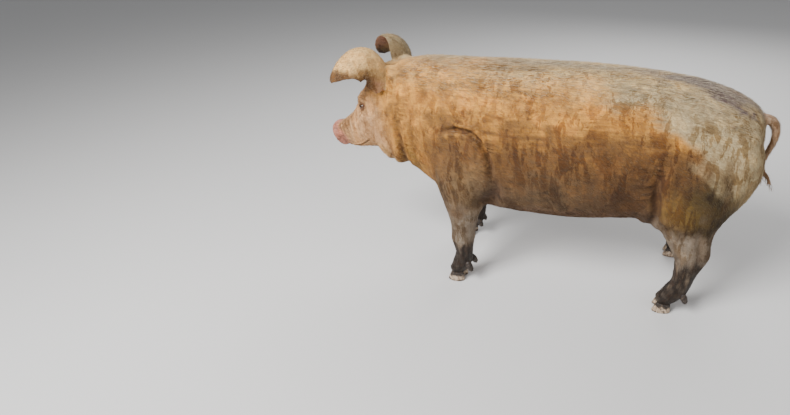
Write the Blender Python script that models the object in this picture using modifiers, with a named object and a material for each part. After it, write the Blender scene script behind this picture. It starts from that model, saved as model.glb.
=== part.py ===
# Domestic pig, standing still, at its real size.
# Metres, +Z up. The head is towards -X and the animal's left side towards -Y.

import math
import random

import bmesh
import bpy
import numpy as np
from mathutils import Matrix, Vector
from mathutils.bvhtree import BVHTree

# Driving sizes of the whole animal
BACK_HEIGHT = 0.900
BELLY_HEIGHT = 0.312
CHEST_HALF_WIDTH = 0.234
FOOT_SPREAD = {"front": 0.164, "hind": 0.186}
HOOF_X = {
    "front_left": -0.280,
    "front_right": -0.345,
    "hind_left": 0.584,
    "hind_right": 0.618,
}

# Head: a frame of its own, u along the nose, v up from that line, w to the animal's left
HEAD_BASE = Vector((-0.425, 0.0, 0.700))
HEAD_PITCH = math.radians(20.0)
MOUTH_CORNER_U = 0.232
MOUTH_FRONT_V = -0.050
MOUTH_SAG = 0.012
MOUTH_CORNER_LIFT = 0.006
MOUTH_GROOVE = 0.0042
# rise above the line of the mouth, depth under the cheek and radius of each lip
LIPS = [
    (0.0075, 0.0045, 0.0085),
    (-0.0085, 0.0050, 0.0080),
]

# Eye: its place on the head, how deep it lies, and the lids' opening
EYE_U = 0.176
EYE_V = 0.090
EYE_RADIUS = 0.0150
EYE_SINK = 0.0095
EYE_LEAN = (-0.30, 0.35, 0.05)
EYE_OPENING = (0.0120, 0.0074)
LOWER_LID_SHARE = 0.85
LID = 0.0030

# Snout: the flat oval disc that carries the nostrils
SNOUT_CUT = 0.374
SNOUT_LIFT = 0.003
SNOUT_RING = 26
NOSTRIL_RISE = 0.006
NOSTRIL_SPREAD = 0.0215
NOSTRIL_RADII = (0.020, 0.0095, 0.0130)

# Ear
EAR_THICKNESS = 0.0070
EAR_RINGS = 13
EAR_POINTS = 10
EAR_NOTCH_DEPTH = 0.024
EAR_NOTCH_WIDTH = 0.022
EAR_NOTCH_PLACE = 0.36

# Feet
CLAW_LENGTH = 0.074
CLAW_WIDTH = 0.037
CLAW_HEIGHT = 0.044
CLAW_GAP = 0.004
CLAW_RING = 14
DEWCLAW_LENGTH = 0.040
DEWCLAW_RADIUS = 0.0130
DEWCLAW_PLACE = (0.024, 0.024, 0.106)
DEWCLAW_LEAN = (0.018, 0.007)
DEWCLAW_SHARES = (0.50, 0.88, 1.00, 0.86, 0.46)
CLAW_TOE_TAPER = 0.30
CLAW_FLAT_SIDE = 0.86
# height, length and width of each level of a hoof half as shares of its size, and its set-back
CLAW = [
    (0.00, 0.98, 0.96, 0.0000),
    (0.12, 1.00, 1.00, 0.0005),
    (0.45, 0.90, 1.00, 0.0030),
    (0.80, 0.78, 0.96, 0.0060),
    (1.00, 0.70, 0.88, 0.0080),
]

# Teats
TEATS_A_SIDE = 7
TEAT_FIRST_X = -0.120
TEAT_LAST_X = 0.500
TEAT_SPREAD = 0.070
# distance out of the belly and radius of a teat's levels
TEAT = [
    (-0.012, 0.0140),
    (0.000, 0.0110),
    (0.008, 0.0080),
    (0.015, 0.0050),
]

# Making of the surface
GAP = 0.0003
VOXEL = 0.005
SMOOTH_ROUNDS = 26
RING = 88
LIMB_RING = 44
HEAD_TRIANGLES = 2000
BODY_TRIANGLES = 3900

# The forms are laid out from the shoulders, and the finished animal is centred on the origin
MIDDLE_X = 0.048

SIDES = {"left": -1.0, "right": 1.0}

# Colour and roughness by the start of a node's name
MATERIALS = {
    "torso": ((0.46, 0.31, 0.17), 0.90),
    "neck": ((0.55, 0.38, 0.22), 0.90),
    "head": ((0.50, 0.36, 0.25), 0.88),
    "snout": ((0.48, 0.29, 0.24), 0.55),
    "ear": ((0.36, 0.27, 0.18), 0.85),
    "eye": ((0.03, 0.02, 0.015), 0.15),
    "leg": ((0.26, 0.22, 0.19), 0.88),
    "claw": ((0.34, 0.27, 0.21), 0.50),
    "dewclaw": ((0.16, 0.12, 0.10), 0.60),
    "tail": ((0.46, 0.33, 0.25), 0.85),
}

# Trunk and neck, from the rump forwards: x, drop below the back, rise above the belly,
# half width as a share of the chest's, height of the widest level as a share, squareness
TRUNK = [
    (0.862, 0.195, 0.248, 0.214, 0.50, 2.0),
    (0.850, 0.150, 0.198, 0.419, 0.50, 2.1),
    (0.815, 0.110, 0.143, 0.641, 0.50, 2.2),
    (0.740, 0.072, 0.098, 0.803, 0.50, 2.3),
    (0.620, 0.038, 0.060, 0.889, 0.50, 2.4),
    (0.480, 0.016, 0.032, 0.940, 0.48, 2.4),
    (0.330, 0.005, 0.010, 0.979, 0.46, 2.4),
    (0.130, 0.000, 0.000, 1.000, 0.45, 2.4),
    (-0.070, 0.000, 0.010, 0.987, 0.45, 2.4),
    (-0.210, 0.000, 0.038, 0.940, 0.46, 2.4),
    (-0.300, -0.002, 0.072, 0.885, 0.47, 2.4),
    (-0.370, -0.003, 0.112, 0.812, 0.46, 2.3),
    (-0.430, 0.002, 0.150, 0.735, 0.44, 2.2),
    (-0.485, 0.016, 0.188, 0.650, 0.44, 2.2),
    (-0.530, 0.040, 0.233, 0.513, 0.44, 2.1),
]

# Head in its own frame, from the back forwards:
# u, top, bottom, half width, height of the widest level as a share, squareness
HEAD = [
    (-0.020, 0.165, -0.190, 0.120, 0.40, 2.1),
    (0.010, 0.192, -0.196, 0.145, 0.38, 2.2),
    (0.050, 0.204, -0.194, 0.152, 0.36, 2.2),
    (0.090, 0.196, -0.182, 0.148, 0.38, 2.2),
    (0.130, 0.176, -0.160, 0.136, 0.42, 2.2),
    (0.170, 0.148, -0.134, 0.118, 0.46, 2.2),
    (0.210, 0.118, -0.112, 0.098, 0.48, 2.2),
    (0.250, 0.092, -0.097, 0.080, 0.50, 2.2),
    (0.290, 0.073, -0.086, 0.067, 0.52, 2.2),
    (0.330, 0.061, -0.075, 0.058, 0.54, 2.2),
    (0.358, 0.056, -0.060, 0.055, 0.52, 2.2),
    (0.382, 0.055, -0.043, 0.054, 0.48, 2.2),
    (0.430, 0.052, -0.034, 0.050, 0.48, 2.2),
]

# Snout's rings, from the head forwards: u, half width, half height
SNOUT = [
    (SNOUT_CUT + GAP, 0.0515, 0.0500),
    (0.3800, 0.0530, 0.0510),
    (0.3870, 0.0555, 0.0525),
    (0.3950, 0.0560, 0.0525),
    (0.4010, 0.0535, 0.0500),
    (0.4035, 0.0480, 0.0445),
    (0.4025, 0.0300, 0.0280),
]

# Limbs of the left side, from the body down: x from the hoof, distance from the middle, z,
# half depth fore and aft, half width
FORE_LIMB = [
    (0.010, 0.105, 0.690, 0.120, 0.082),
    (0.034, 0.125, 0.580, 0.126, 0.092),
    (0.054, 0.138, 0.480, 0.104, 0.090),
    (0.056, 0.148, 0.405, 0.084, 0.078),
    (0.056, 0.156, 0.345, 0.068, 0.062),
    (0.054, 0.160, 0.290, 0.056, 0.052),
    (0.050, 0.162, 0.245, 0.050, 0.047),
    (0.046, 0.163, 0.210, 0.050, 0.048),
    (0.044, 0.164, 0.172, 0.041, 0.041),
    (0.043, 0.164, 0.135, 0.038, 0.039),
    (0.036, 0.164, 0.104, 0.043, 0.042),
    (0.020, 0.164, 0.074, 0.039, 0.040),
    (0.006, 0.164, 0.048, 0.034, 0.037),
]
HIND_LIMB = [
    (0.056, 0.095, 0.700, 0.165, 0.090),
    (0.064, 0.115, 0.600, 0.200, 0.106),
    (0.058, 0.130, 0.500, 0.186, 0.102),
    (0.056, 0.146, 0.420, 0.136, 0.086),
    (0.064, 0.160, 0.350, 0.094, 0.066),
    (0.076, 0.170, 0.295, 0.075, 0.053),
    (0.082, 0.176, 0.250, 0.064, 0.046),
    (0.074, 0.180, 0.205, 0.051, 0.042),
    (0.066, 0.184, 0.160, 0.043, 0.039),
    (0.060, 0.186, 0.125, 0.042, 0.041),
    (0.046, 0.186, 0.098, 0.045, 0.043),
    (0.024, 0.186, 0.070, 0.039, 0.040),
    (0.006, 0.186, 0.048, 0.034, 0.037),
]

# Muscle and fat that round the trunk: centre (x, outwards, z) and radii
PAIRED_MASSES = {
    "shoulder_form": ((-0.290, 0.098, 0.640), (0.150, 0.105, 0.230)),
    "buttock_form": ((0.735, 0.096, 0.600), (0.132, 0.106, 0.185)),
    "flank_form": ((0.550, 0.128, 0.480), (0.150, 0.076, 0.140)),
}
MIDDLE_MASSES = {
    "brisket_form": ((-0.330, 0.0, 0.500), (0.150, 0.120, 0.110)),
    "dewlap_form": ((-0.450, 0.0, 0.580), (0.130, 0.120, 0.100)),
}
# The same on each limb, with x from the hoof
LIMB_MASSES = {
    "front": {
        "elbow_form": ((0.092, 0.142, 0.385), (0.062, 0.050, 0.062)),
        "toe_form": ((0.004, FOOT_SPREAD["front"], 0.054), (0.036, 0.039, 0.026)),
    },
    "hind": {
        "hock_form": ((0.124, 0.177, 0.274), (0.030, 0.026, 0.048)),
        "toe_form": ((0.004, FOOT_SPREAD["hind"], 0.054), (0.036, 0.039, 0.026)),
    },
}
# And on the head: u, v, outwards and radii
HEAD_MASSES = {
    "cheek_form": ((0.080, -0.075, 0.062), (0.125, 0.088, 0.110)),
    "brow_form": ((0.140, 0.098, 0.052), (0.070, 0.048, 0.050)),
    "ear_root_form": ((0.020, 0.146, 0.066), (0.064, 0.050, 0.056)),
}

# Where the flesh is parted: middle, size and tilt of the flat cuts across the neck,
# and middle (x from the hoof, outwards, z) and radii of the egg-shaped cuts round the legs
NECK_CUTS = {
    "head_cut": ((-0.456, 0.0, 0.690), (0.76, 0.50), 91.0),
    "neck_cut": ((-0.355, 0.0, 0.690), (0.76, 0.60), 98.0),
}
LEG_CUTS = {
    "front": ((0.034, 0.172, 0.200), (0.140, 0.130, 0.265)),
    "hind": ((0.076, 0.195, 0.220), (0.185, 0.150, 0.290)),
}

# Ear of the left side: share of its length, centre line (x, outwards, z),
# direction that its convex back faces (x, outwards, z), half width, angle of the cup
EAR = [
    (0.00, -0.478, 0.084, 0.832, 0.80, 0.16, 0.48, 0.062, 148.0),
    (0.12, -0.486, 0.103, 0.868, 0.74, 0.30, 0.56, 0.071, 138.0),
    (0.28, -0.503, 0.128, 0.905, 0.54, 0.46, 0.68, 0.077, 122.0),
    (0.46, -0.536, 0.151, 0.930, 0.24, 0.58, 0.77, 0.076, 108.0),
    (0.64, -0.579, 0.169, 0.931, -0.05, 0.62, 0.77, 0.071, 92.0),
    (0.80, -0.619, 0.181, 0.908, -0.28, 0.64, 0.71, 0.058, 82.0),
    (0.92, -0.647, 0.188, 0.879, -0.42, 0.65, 0.64, 0.040, 74.0),
    (1.00, -0.664, 0.191, 0.853, -0.50, 0.64, 0.58, 0.014, 62.0),
]

# Tail: centre line, hanging behind the rump with a half curl, and its radius
TAIL = [
    (0.812, 0.000, 0.736, 0.0230),
    (0.846, 0.000, 0.745, 0.0205),
    (0.878, 0.004, 0.734, 0.0180),
    (0.896, 0.010, 0.702, 0.0158),
    (0.900, 0.018, 0.662, 0.0140),
    (0.892, 0.022, 0.622, 0.0124),
    (0.880, 0.014, 0.588, 0.0110),
    (0.876, -0.006, 0.562, 0.0098),
    (0.886, -0.026, 0.548, 0.0086),
    (0.898, -0.040, 0.536, 0.0074),
    (0.902, -0.048, 0.518, 0.0058),
]
TAIL_SIDES = 8
TAIL_LOCKS = 7
TAIL_LOCK_LENGTH = 0.070
TAIL_LOCK_RADIUS = 0.0042

collection = bpy.data.collections.new("domestic_pig")
cutters = bpy.data.collections.new("cutters")


# Clearing the scene
def clear_scene():
    for item in list(bpy.data.objects):
        bpy.data.objects.remove(item, do_unlink=True)
    bpy.context.scene.collection.children.link(collection)
    bpy.context.scene.collection.children.link(cutters)


# One material for each node, by what the node is made of
def give_material(name, item):
    kind = next(key for key in MATERIALS if name.startswith(key))
    color, roughness = MATERIALS[kind]
    look = bpy.data.materials.new(name + "_material")
    look.use_nodes = True
    shader = look.node_tree.nodes["Principled BSDF"]
    shader.inputs["Base Color"].default_value = (*color, 1.0)
    shader.inputs["Roughness"].default_value = roughness
    shader.inputs["Metallic"].default_value = 0.0
    item.data.materials.clear()
    item.data.materials.append(look)


# Reading a smooth curve through rows of numbers
def smooth_rows(rows, count, key_columns):
    table = np.array(rows, dtype=float)
    steps = np.linalg.norm(np.diff(table[:, key_columns], axis=0), axis=1)
    place = np.concatenate([[0.0], np.cumsum(steps)])
    rise = np.diff(table, axis=0) / np.diff(place)[:, None]
    slope = np.vstack([rise[:1], 0.5 * (rise[:-1] + rise[1:]), rise[-1:]])
    wanted = np.linspace(0.0, place[-1], count)
    index = np.clip(np.searchsorted(place, wanted, side="right") - 1, 0, len(rise) - 1)
    width = (place[index + 1] - place[index])[:, None]
    t = ((wanted - place[index])[:, None]) / width
    start = (2 * t**3 - 3 * t**2 + 1) * table[index]
    leave = (t**3 - 2 * t**2 + t) * width * slope[index]
    end = (3 * t**2 - 2 * t**3) * table[index + 1]
    arrive = (t**3 - t**2) * width * slope[index + 1]
    return start + leave + end + arrive


def power(value, exponent):
    return math.copysign(abs(value) ** exponent, value)


# A new object from vertices and faces
def add_object(name, mesh, target=None):
    item = bpy.data.objects.new(name, mesh)
    (target or collection).objects.link(item)
    return item


# A closed surface through rings that all have the same number of points
def loft(name, rings, target=None):
    shape = bmesh.new()
    rows = [[shape.verts.new(point) for point in ring] for ring in rings]
    count = len(rows[0])
    for row, following in zip(rows, rows[1:]):
        for i in range(count):
            j = (i + 1) % count
            shape.faces.new((row[i], row[j], following[j], following[i]))
    shape.faces.new(rows[0][::-1])
    shape.faces.new(rows[-1])
    bmesh.ops.recalc_face_normals(shape, faces=shape.faces)
    mesh = bpy.data.meshes.new(name)
    shape.to_mesh(mesh)
    shape.free()
    return add_object(name, mesh, target)


# One upright section: an oval that can be wider above or below its middle
def body_ring(top, bottom, half_width, waist, squareness):
    middle = bottom + waist * (top - bottom)
    ring = []
    for i in range(RING):
        angle = math.tau * i / RING
        side = half_width * power(math.cos(angle), 2.0 / squareness)
        reach = top - middle if math.sin(angle) > 0.0 else middle - bottom
        ring.append((side, middle + reach * power(math.sin(angle), 2.0 / squareness)))
    return ring


def trunk_form():
    rings = []
    for x, drop, lift, width_share, waist, squareness in smooth_rows(TRUNK, 60, [0]):
        half_width = width_share * CHEST_HALF_WIDTH
        ring = body_ring(BACK_HEIGHT - drop, BELLY_HEIGHT + lift, half_width, waist, squareness)
        rings.append([(x, side, height) for side, height in ring])
    return loft("trunk_form", rings)


# Places on the head, from its own frame to the world
def head_point(u, v, w):
    forward = Vector((-math.cos(HEAD_PITCH), 0.0, -math.sin(HEAD_PITCH)))
    upward = Vector((-math.sin(HEAD_PITCH), 0.0, math.cos(HEAD_PITCH)))
    return HEAD_BASE + forward * u + upward * v + Vector((0.0, -w, 0.0))


def head_form():
    rings = []
    for u, top, bottom, half_width, waist, squareness in smooth_rows(HEAD, 40, [0]):
        ring = body_ring(top, bottom, half_width, waist, squareness)
        rings.append([head_point(u, height, side) for side, height in ring])
    return loft("head_form", rings)


# A limb: ovals square to its centre line, which leans from body_x at the body to the hoof
def limb_form(name, rows, hoof_x, body_x, side):
    table = smooth_rows(rows, 34, [0, 1, 2])
    top = rows[0][2]
    centres = []
    for row in table:
        share = min(max(row[2] / top, 0.0), 1.0)
        root = hoof_x + (body_x - hoof_x) * share
        centres.append(Vector((root + row[0], side * row[1], row[2])))
    rings = []
    for i, row in enumerate(table):
        along = centres[min(i + 1, len(centres) - 1)] - centres[max(i - 1, 0)]
        along.normalize()
        across = Vector((0.0, 1.0, 0.0))
        across = (across - along * across.dot(along)).normalized()
        ahead = across.cross(along)
        ring = []
        for k in range(LIMB_RING):
            angle = math.tau * k / LIMB_RING
            reach = ahead * (row[3] * math.cos(angle)) + across * (row[4] * math.sin(angle))
            ring.append(centres[i] + reach)
        rings.append(ring)
    return loft(name, rings)


# A rounded mass of muscle or fat
def mass_form(name, centre, radii, turn=(0.0, 0.0, 0.0), segments=18):
    shape = bmesh.new()
    bmesh.ops.create_uvsphere(shape, u_segments=segments, v_segments=segments * 2 // 3, radius=1.0)
    mesh = bpy.data.meshes.new(name)
    shape.to_mesh(mesh)
    shape.free()
    turned = Matrix.Identity(4)
    for angle, axis in zip(turn, "XYZ"):
        turned = Matrix.Rotation(math.radians(angle), 4, axis) @ turned
    mesh.transform(Matrix.Translation(centre) @ turned @ Matrix.Diagonal((*radii, 1.0)))
    return add_object(name, mesh)


def body_mass(name, x, y, z, radii):
    return mass_form(name, (x, y, z), radii, segments=36)


def head_mass(name, u, v, w, radii, segments=36):
    item = mass_form(name, (0.0, 0.0, 0.0), radii, segments=segments)
    item.data.transform(Matrix.Translation(head_point(u, v, w)) @ Matrix.Rotation(-HEAD_PITCH, 4, "Y"))
    return item


# A smooth tube through points, with a radius at each
def tube_form(name, points, radii, sides=12, target=None):
    places = [Vector(point) for point in points]
    rings = []
    across = Vector((0.0, 0.0, 1.0))
    for i, place in enumerate(places):
        along = (places[min(i + 1, len(places) - 1)] - places[max(i - 1, 0)]).normalized()
        across = (across - along * across.dot(along)).normalized()
        other = along.cross(across)
        ring = []
        for k in range(sides):
            angle = math.tau * k / sides
            ring.append(place + (across * math.cos(angle) + other * math.sin(angle)) * radii[i])
        rings.append(ring)
    return loft(name, rings, target)


# How far the side of the head is from its middle at a level of its own frame
def head_side(u, v):
    table = np.array(HEAD)
    top, bottom, half_width, waist, squareness = (np.interp(u, table[:, 0], table[:, k]) for k in range(1, 6))
    middle = bottom + waist * (top - bottom)
    reach = top - middle if v > middle else middle - bottom
    share = min(abs(v - middle) / reach, 0.98)
    return half_width * (1.0 - share**squareness) ** (1.0 / squareness)


# The line of the mouth on one side, from the corner to the tip
def mouth_line(side, lift, sink, count=14):
    points = []
    for i in range(count):
        share = i / (count - 1)
        u = MOUTH_CORNER_U + (SNOUT_CUT + 0.02 - MOUTH_CORNER_U) * share
        v = MOUTH_FRONT_V - MOUTH_SAG * math.sin(math.pi * share) + lift
        v += MOUTH_CORNER_LIFT * (1.0 - share) ** 2
        points.append(head_point(u, v, -side * (head_side(u, v) - sink)))
    return points


# Radii that swell from a thin end and close again
def taper(count, radius):
    shares = [0.08 + 0.87 * i / (count - 1) for i in range(count)]
    return [radius * (0.30 + 0.70 * math.sin(math.pi * share)) for share in shares]


# Every form that the soft body is fused from
def soft_forms():
    forms = [trunk_form(), head_form()]
    for name, side in SIDES.items():
        for end, rows in (("front", FORE_LIMB), ("hind", HIND_LIMB)):
            hoof_x = HOOF_X[end + "_" + name]
            forms.append(limb_form("limb_form", rows, hoof_x, HOOF_X[end + "_left"], side))
            for label, ((x, outwards, z), radii) in LIMB_MASSES[end].items():
                forms.append(body_mass(label, hoof_x + x, side * outwards, z, radii))
        for label, ((x, outwards, z), radii) in PAIRED_MASSES.items():
            forms.append(body_mass(label, x, side * outwards, z, radii))
        for label, ((u, v, outwards), radii) in HEAD_MASSES.items():
            forms.append(head_mass(label, u, v, -side * outwards, radii))
        for lift, sink, radius in LIPS:
            line = mouth_line(side, lift, sink)
            forms.append(tube_form("lip_form", line, taper(len(line), radius)))
    for label, ((x, y, z), radii) in MIDDLE_MASSES.items():
        forms.append(body_mass(label, x, y, z, radii))
    return forms


def applied(item):
    graph = bpy.context.evaluated_depsgraph_get()
    graph.update()
    mesh = bpy.data.meshes.new_from_object(item.evaluated_get(graph))
    item.modifiers.clear()
    item.data = mesh
    return item


# All forms in one closed surface, remade as even small faces and smoothed
def fuse(forms, name):
    whole = bmesh.new()
    for form in forms:
        whole.from_mesh(form.data)
        bpy.data.objects.remove(form, do_unlink=True)
    mesh = bpy.data.meshes.new(name)
    whole.to_mesh(mesh)
    whole.free()
    item = add_object(name, mesh)
    fused = item.modifiers.new("fused", "REMESH")
    fused.mode = "VOXEL"
    fused.voxel_size = VOXEL
    evened = item.modifiers.new("evened", "SMOOTH")
    evened.factor = 0.5
    evened.iterations = SMOOTH_ROUNDS
    return applied(item)


# Fewer faces where the chosen region says so, and every other face kept
def thin_out(item, is_inside, triangles):
    group = item.vertex_groups.new(name="region")
    chosen = [v.index for v in item.data.vertices if is_inside(v.co)]
    group.add(chosen, 1.0, "REPLACE")
    inside = set(chosen)
    item.data.calc_loop_triangles()
    total = len(item.data.loop_triangles)
    region = sum(1 for t in item.data.loop_triangles if all(v in inside for v in t.vertices))
    fewer = item.modifiers.new("fewer", "DECIMATE")
    fewer.decimate_type = "COLLAPSE"
    fewer.vertex_group = "region"
    fewer.vertex_group_factor = 1.0
    fewer.use_collapse_triangulate = True
    fewer.ratio = (total - region + triangles) / total
    applied(item)
    item.vertex_groups.clear()
    return item


def in_head(place):
    return place.x < -0.46


# A cutter is hidden and drawn as a wire
def hidden(item):
    for owner in list(item.users_collection):
        owner.objects.unlink(item)
    cutters.objects.link(item)
    item.hide_render = True
    item.display_type = "WIRE"
    return item


def block(name, centre, size, turn):
    shape = bmesh.new()
    bmesh.ops.create_cube(shape, size=1.0)
    mesh = bpy.data.meshes.new(name)
    shape.to_mesh(mesh)
    shape.free()
    mesh.transform(Matrix.Translation(centre) @ turn @ Matrix.Diagonal((*size, 1.0)))
    return hidden(add_object(name, mesh))


# A thin sheet, GAP thick, that parts the body where it passes
def sheet(name, centre, size, tilt):
    return block(name, centre, (*size, GAP), Matrix.Rotation(math.radians(tilt), 4, "Y"))


def boolean(item, operation, others, solver="EXACT"):
    group = bpy.data.collections.new("operands")
    for other in others:
        group.objects.link(other)
    change = item.modifiers.new("change", "BOOLEAN")
    change.operation = operation
    change.operand_type = "COLLECTION"
    change.collection = group
    change.solver = solver
    applied(item)
    for other in others:
        bpy.data.objects.remove(other, do_unlink=True)
    bpy.data.collections.remove(group)
    return item


# The loose pieces of a mesh, largest first, each as a mesh of its own
def loose_pieces(item):
    shape = bmesh.new()
    shape.from_mesh(item.data)
    shape.verts.ensure_lookup_table()
    seen = set()
    pieces = []
    for seed in shape.verts:
        if seed.index in seen:
            continue
        seen.add(seed.index)
        waiting = [seed]
        members = []
        while waiting:
            vert = waiting.pop()
            members.append(vert)
            for edge in vert.link_edges:
                other = edge.other_vert(vert)
                if other.index not in seen:
                    seen.add(other.index)
                    waiting.append(other)
        pieces.append(members)
    meshes = []
    for members in sorted(pieces, key=len, reverse=True):
        kept = {vert.index for vert in members}
        part = shape.copy()
        part.verts.ensure_lookup_table()
        bmesh.ops.delete(part, geom=[v for v in part.verts if v.index not in kept], context="VERTS")
        bmesh.ops.triangulate(part, faces=part.faces)
        mesh = bpy.data.meshes.new(item.name)
        part.to_mesh(mesh)
        part.free()
        meshes.append(mesh)
    shape.free()
    return meshes


def keep_largest(item):
    item.data = loose_pieces(item)[0]
    return item


# A copy swollen by the gap, to cut a neighbour so that both meet face to face
def swollen(item):
    copy = bpy.data.objects.new(item.name + "_swollen", item.data.copy())
    cutters.objects.link(copy)
    grown = copy.modifiers.new("grown", "DISPLACE")
    grown.strength = GAP
    grown.mid_level = 0.0
    return applied(copy)


# An egg-shaped shell, GAP thick, that parts a leg from the trunk where it passes
def shell(name, centre, radii):
    outer = hidden(mass_form(name, centre, [radius + GAP for radius in radii], segments=15))
    inner = hidden(mass_form(name + "_inside", centre, radii, segments=15))
    return boolean(outer, "DIFFERENCE", [inner])


# Parting the soft body into the nodes that a person would name
def part_body(body):
    cuts = [sheet(name, *values) for name, values in NECK_CUTS.items()]
    places = {
        "head": head_point(0.20, 0.0, 0.0),
        "neck": Vector((-0.38, 0.0, 0.66)),
        "torso": Vector((0.15, 0.0, 0.62)),
    }
    for name, side in SIDES.items():
        for end, ((x, outwards, z), radii) in LEG_CUTS.items():
            middle = Vector((HOOF_X[end + "_" + name] + x, side * outwards, z))
            cuts.append(shell(end + "_cut", middle, radii))
            places["leg_" + end + "_" + name] = middle
    boolean(body, "DIFFERENCE", cuts)
    nodes = {}
    for mesh in loose_pieces(body):
        corners = np.array([v.co for v in mesh.vertices])
        middle = Vector(0.5 * (corners.min(axis=0) + corners.max(axis=0)))
        name = min(places, key=lambda key: (places[key] - middle).length)
        if name not in nodes:
            nodes[name] = add_object(name, mesh)
    bpy.data.objects.remove(body, do_unlink=True)
    return nodes


def add_snout(head):
    turn = Matrix.Rotation(-HEAD_PITCH, 4, "Y")
    front = block("snout_face", head_point(SNOUT_CUT + 0.10, 0.0, 0.0), (0.20, 0.30, 0.30), turn)
    boolean(head, "DIFFERENCE", [front])
    keep_largest(head)
    rings = []
    for u, half_width, half_height in SNOUT:
        ring = []
        for k in range(SNOUT_RING):
            angle = math.tau * k / SNOUT_RING
            v = SNOUT_LIFT + half_height * power(math.sin(angle), 0.92)
            ring.append(head_point(u, v, half_width * power(math.cos(angle), 0.92)))
        rings.append(ring)
    snout = loft("snout", rings)
    holes = []
    for side in SIDES.values():
        place = (SNOUT[-1][0], NOSTRIL_RISE, -side * NOSTRIL_SPREAD)
        holes.append(hidden(head_mass("nostril", *place, NOSTRIL_RADII, segments=12)))
    boolean(snout, "DIFFERENCE", holes)
    keep_largest(snout)
    return snout


# The groove between the lips
def cut_mouth(head):
    grooves = []
    for side in SIDES.values():
        line = mouth_line(side, 0.0, 0.0010, 16)
        grooves.append(tube_form("mouth_groove", line, taper(len(line), MOUTH_GROOVE), 6, cutters))
    boolean(head, "DIFFERENCE", grooves)


# An almond seen from the front of the eye, as a prism along its look
def almond(name, centre, look, ahead, upward):
    half_length, half_height = EYE_OPENING
    outline = []
    count = 10
    for height in (half_height, -half_height * LOWER_LID_SHARE):
        for i in range(count):
            angle = math.pi * i / count
            reach = half_length * math.cos(angle) * (1.0 if height > 0.0 else -1.0)
            outline.append(ahead * reach + upward * (height * math.sin(angle)))
    near = [centre + point + look * 0.004 for point in outline]
    far = [centre + point * 1.15 + look * 0.040 for point in outline]
    return loft(name, [near, far], cutters)


def add_eye(name, side, head, surface):
    start = head_point(EYE_U, EYE_V, -side * 0.30)
    inward = Vector((0.0, -side, 0.0))
    hit, normal, _, _ = surface.ray_cast(start, inward)
    look = (normal + Vector((EYE_LEAN[0], side * EYE_LEAN[1], EYE_LEAN[2]))).normalized()
    centre = hit - look * EYE_SINK
    nose = (head_point(1.0, 0.0, 0.0) - head_point(0.0, 0.0, 0.0)).normalized()
    ahead = (nose - look * nose.dot(look)).normalized()
    upward = look.cross(ahead) * (1.0 if look.cross(ahead).z > 0 else -1.0)
    lids = hidden(mass_form("lids", centre, [EYE_RADIUS + LID] * 3, segments=14))
    boolean(head, "UNION", [lids])
    socket = hidden(mass_form("socket", centre, [EYE_RADIUS + GAP] * 3, segments=14))
    boolean(head, "DIFFERENCE", [socket, almond("opening", centre, look, ahead, upward)])
    return mass_form("eye_" + name, centre, [EYE_RADIUS] * 3, segments=14)


# Ear: a leaf rolled to a cup, its rings running across it
def ear_frames(side):
    table = smooth_rows(EAR, EAR_RINGS, [1, 2, 3])
    centres = [Vector((row[1], side * row[2], row[3])) for row in table]
    frames = []
    for i, row in enumerate(table):
        along = (centres[min(i + 1, len(table) - 1)] - centres[max(i - 1, 0)]).normalized()
        back = Vector((row[4], side * row[5], row[6]))
        back = (back - along * back.dot(along)).normalized()
        outward = along.cross(back)
        outward = outward * (1.0 if outward.y * side > 0.0 else -1.0)
        frames.append((centres[i], along, back, outward, row[7], math.radians(row[8])))
    return frames


def add_ear(name, side, neighbours):
    rings = []
    for i, (centre, _, back, outward, half_width, cup) in enumerate(ear_frames(side)):
        radius = half_width / math.sin(cup / 2)
        thick = EAR_THICKNESS * (1.25 - 0.65 * i / (EAR_RINGS - 1))
        outer, inner = [], []
        for k in range(EAR_POINTS):
            t = 2.0 * k / (EAR_POINTS - 1) - 1.0
            ray = outward * math.sin(t * cup / 2) + back * math.cos(t * cup / 2)
            wall = thick * (1.0 - 0.55 * t * t)
            outer.append(centre - back * radius + ray * radius)
            inner.append(centre - back * radius + ray * (radius - wall))
        rings.append(outer + inner[::-1])
    ear = loft("ear_" + name, rings)
    boolean(ear, "DIFFERENCE", [swollen(item) for item in neighbours] + [ear_notch(side)])
    return keep_largest(ear)


# The old tear in the outer rim, a third of the way up
def ear_notch(side):
    frames = ear_frames(side)
    centre, along, back, outward, half_width, cup = frames[int(EAR_NOTCH_PLACE * EAR_RINGS)]
    radius = half_width / math.sin(cup / 2)
    ray = outward * math.sin(cup / 2) + back * math.cos(cup / 2)
    inward = outward * -math.cos(cup / 2) + back * math.sin(cup / 2)
    rim = centre - back * radius + ray * radius
    rings = []
    for reach in (-0.030, 0.030):
        point = rim + ray * reach
        rings.append([
            point + inward * EAR_NOTCH_DEPTH + along * 0.002,
            point - inward * 0.010 + along * EAR_NOTCH_WIDTH * 0.70,
            point - inward * 0.010 - along * EAR_NOTCH_WIDTH * 0.70,
            point + inward * EAR_NOTCH_DEPTH - along * 0.002,
        ])
    return loft("ear_notch", rings, cutters)


# A hoof half: flat sole, sloping wall, blunt toe towards the nose
def add_claw(name, toe_x, y, outward):
    rings = []
    for height, length, width, set_back in CLAW:
        ring = []
        for k in range(CLAW_RING):
            angle = math.tau * k / CLAW_RING
            ahead = power(math.cos(angle), 0.9)
            across = power(math.sin(angle), 0.85) * (1.0 - CLAW_TOE_TAPER * max(ahead, 0.0) ** 2)
            across *= 1.0 if across * outward > 0.0 else CLAW_FLAT_SIDE
            x = toe_x + set_back - ahead * length * CLAW_LENGTH / 2
            ring.append((x, y + across * width * CLAW_WIDTH / 2, height * CLAW_HEIGHT))
        rings.append(ring)
    return loft(name, rings)


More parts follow.
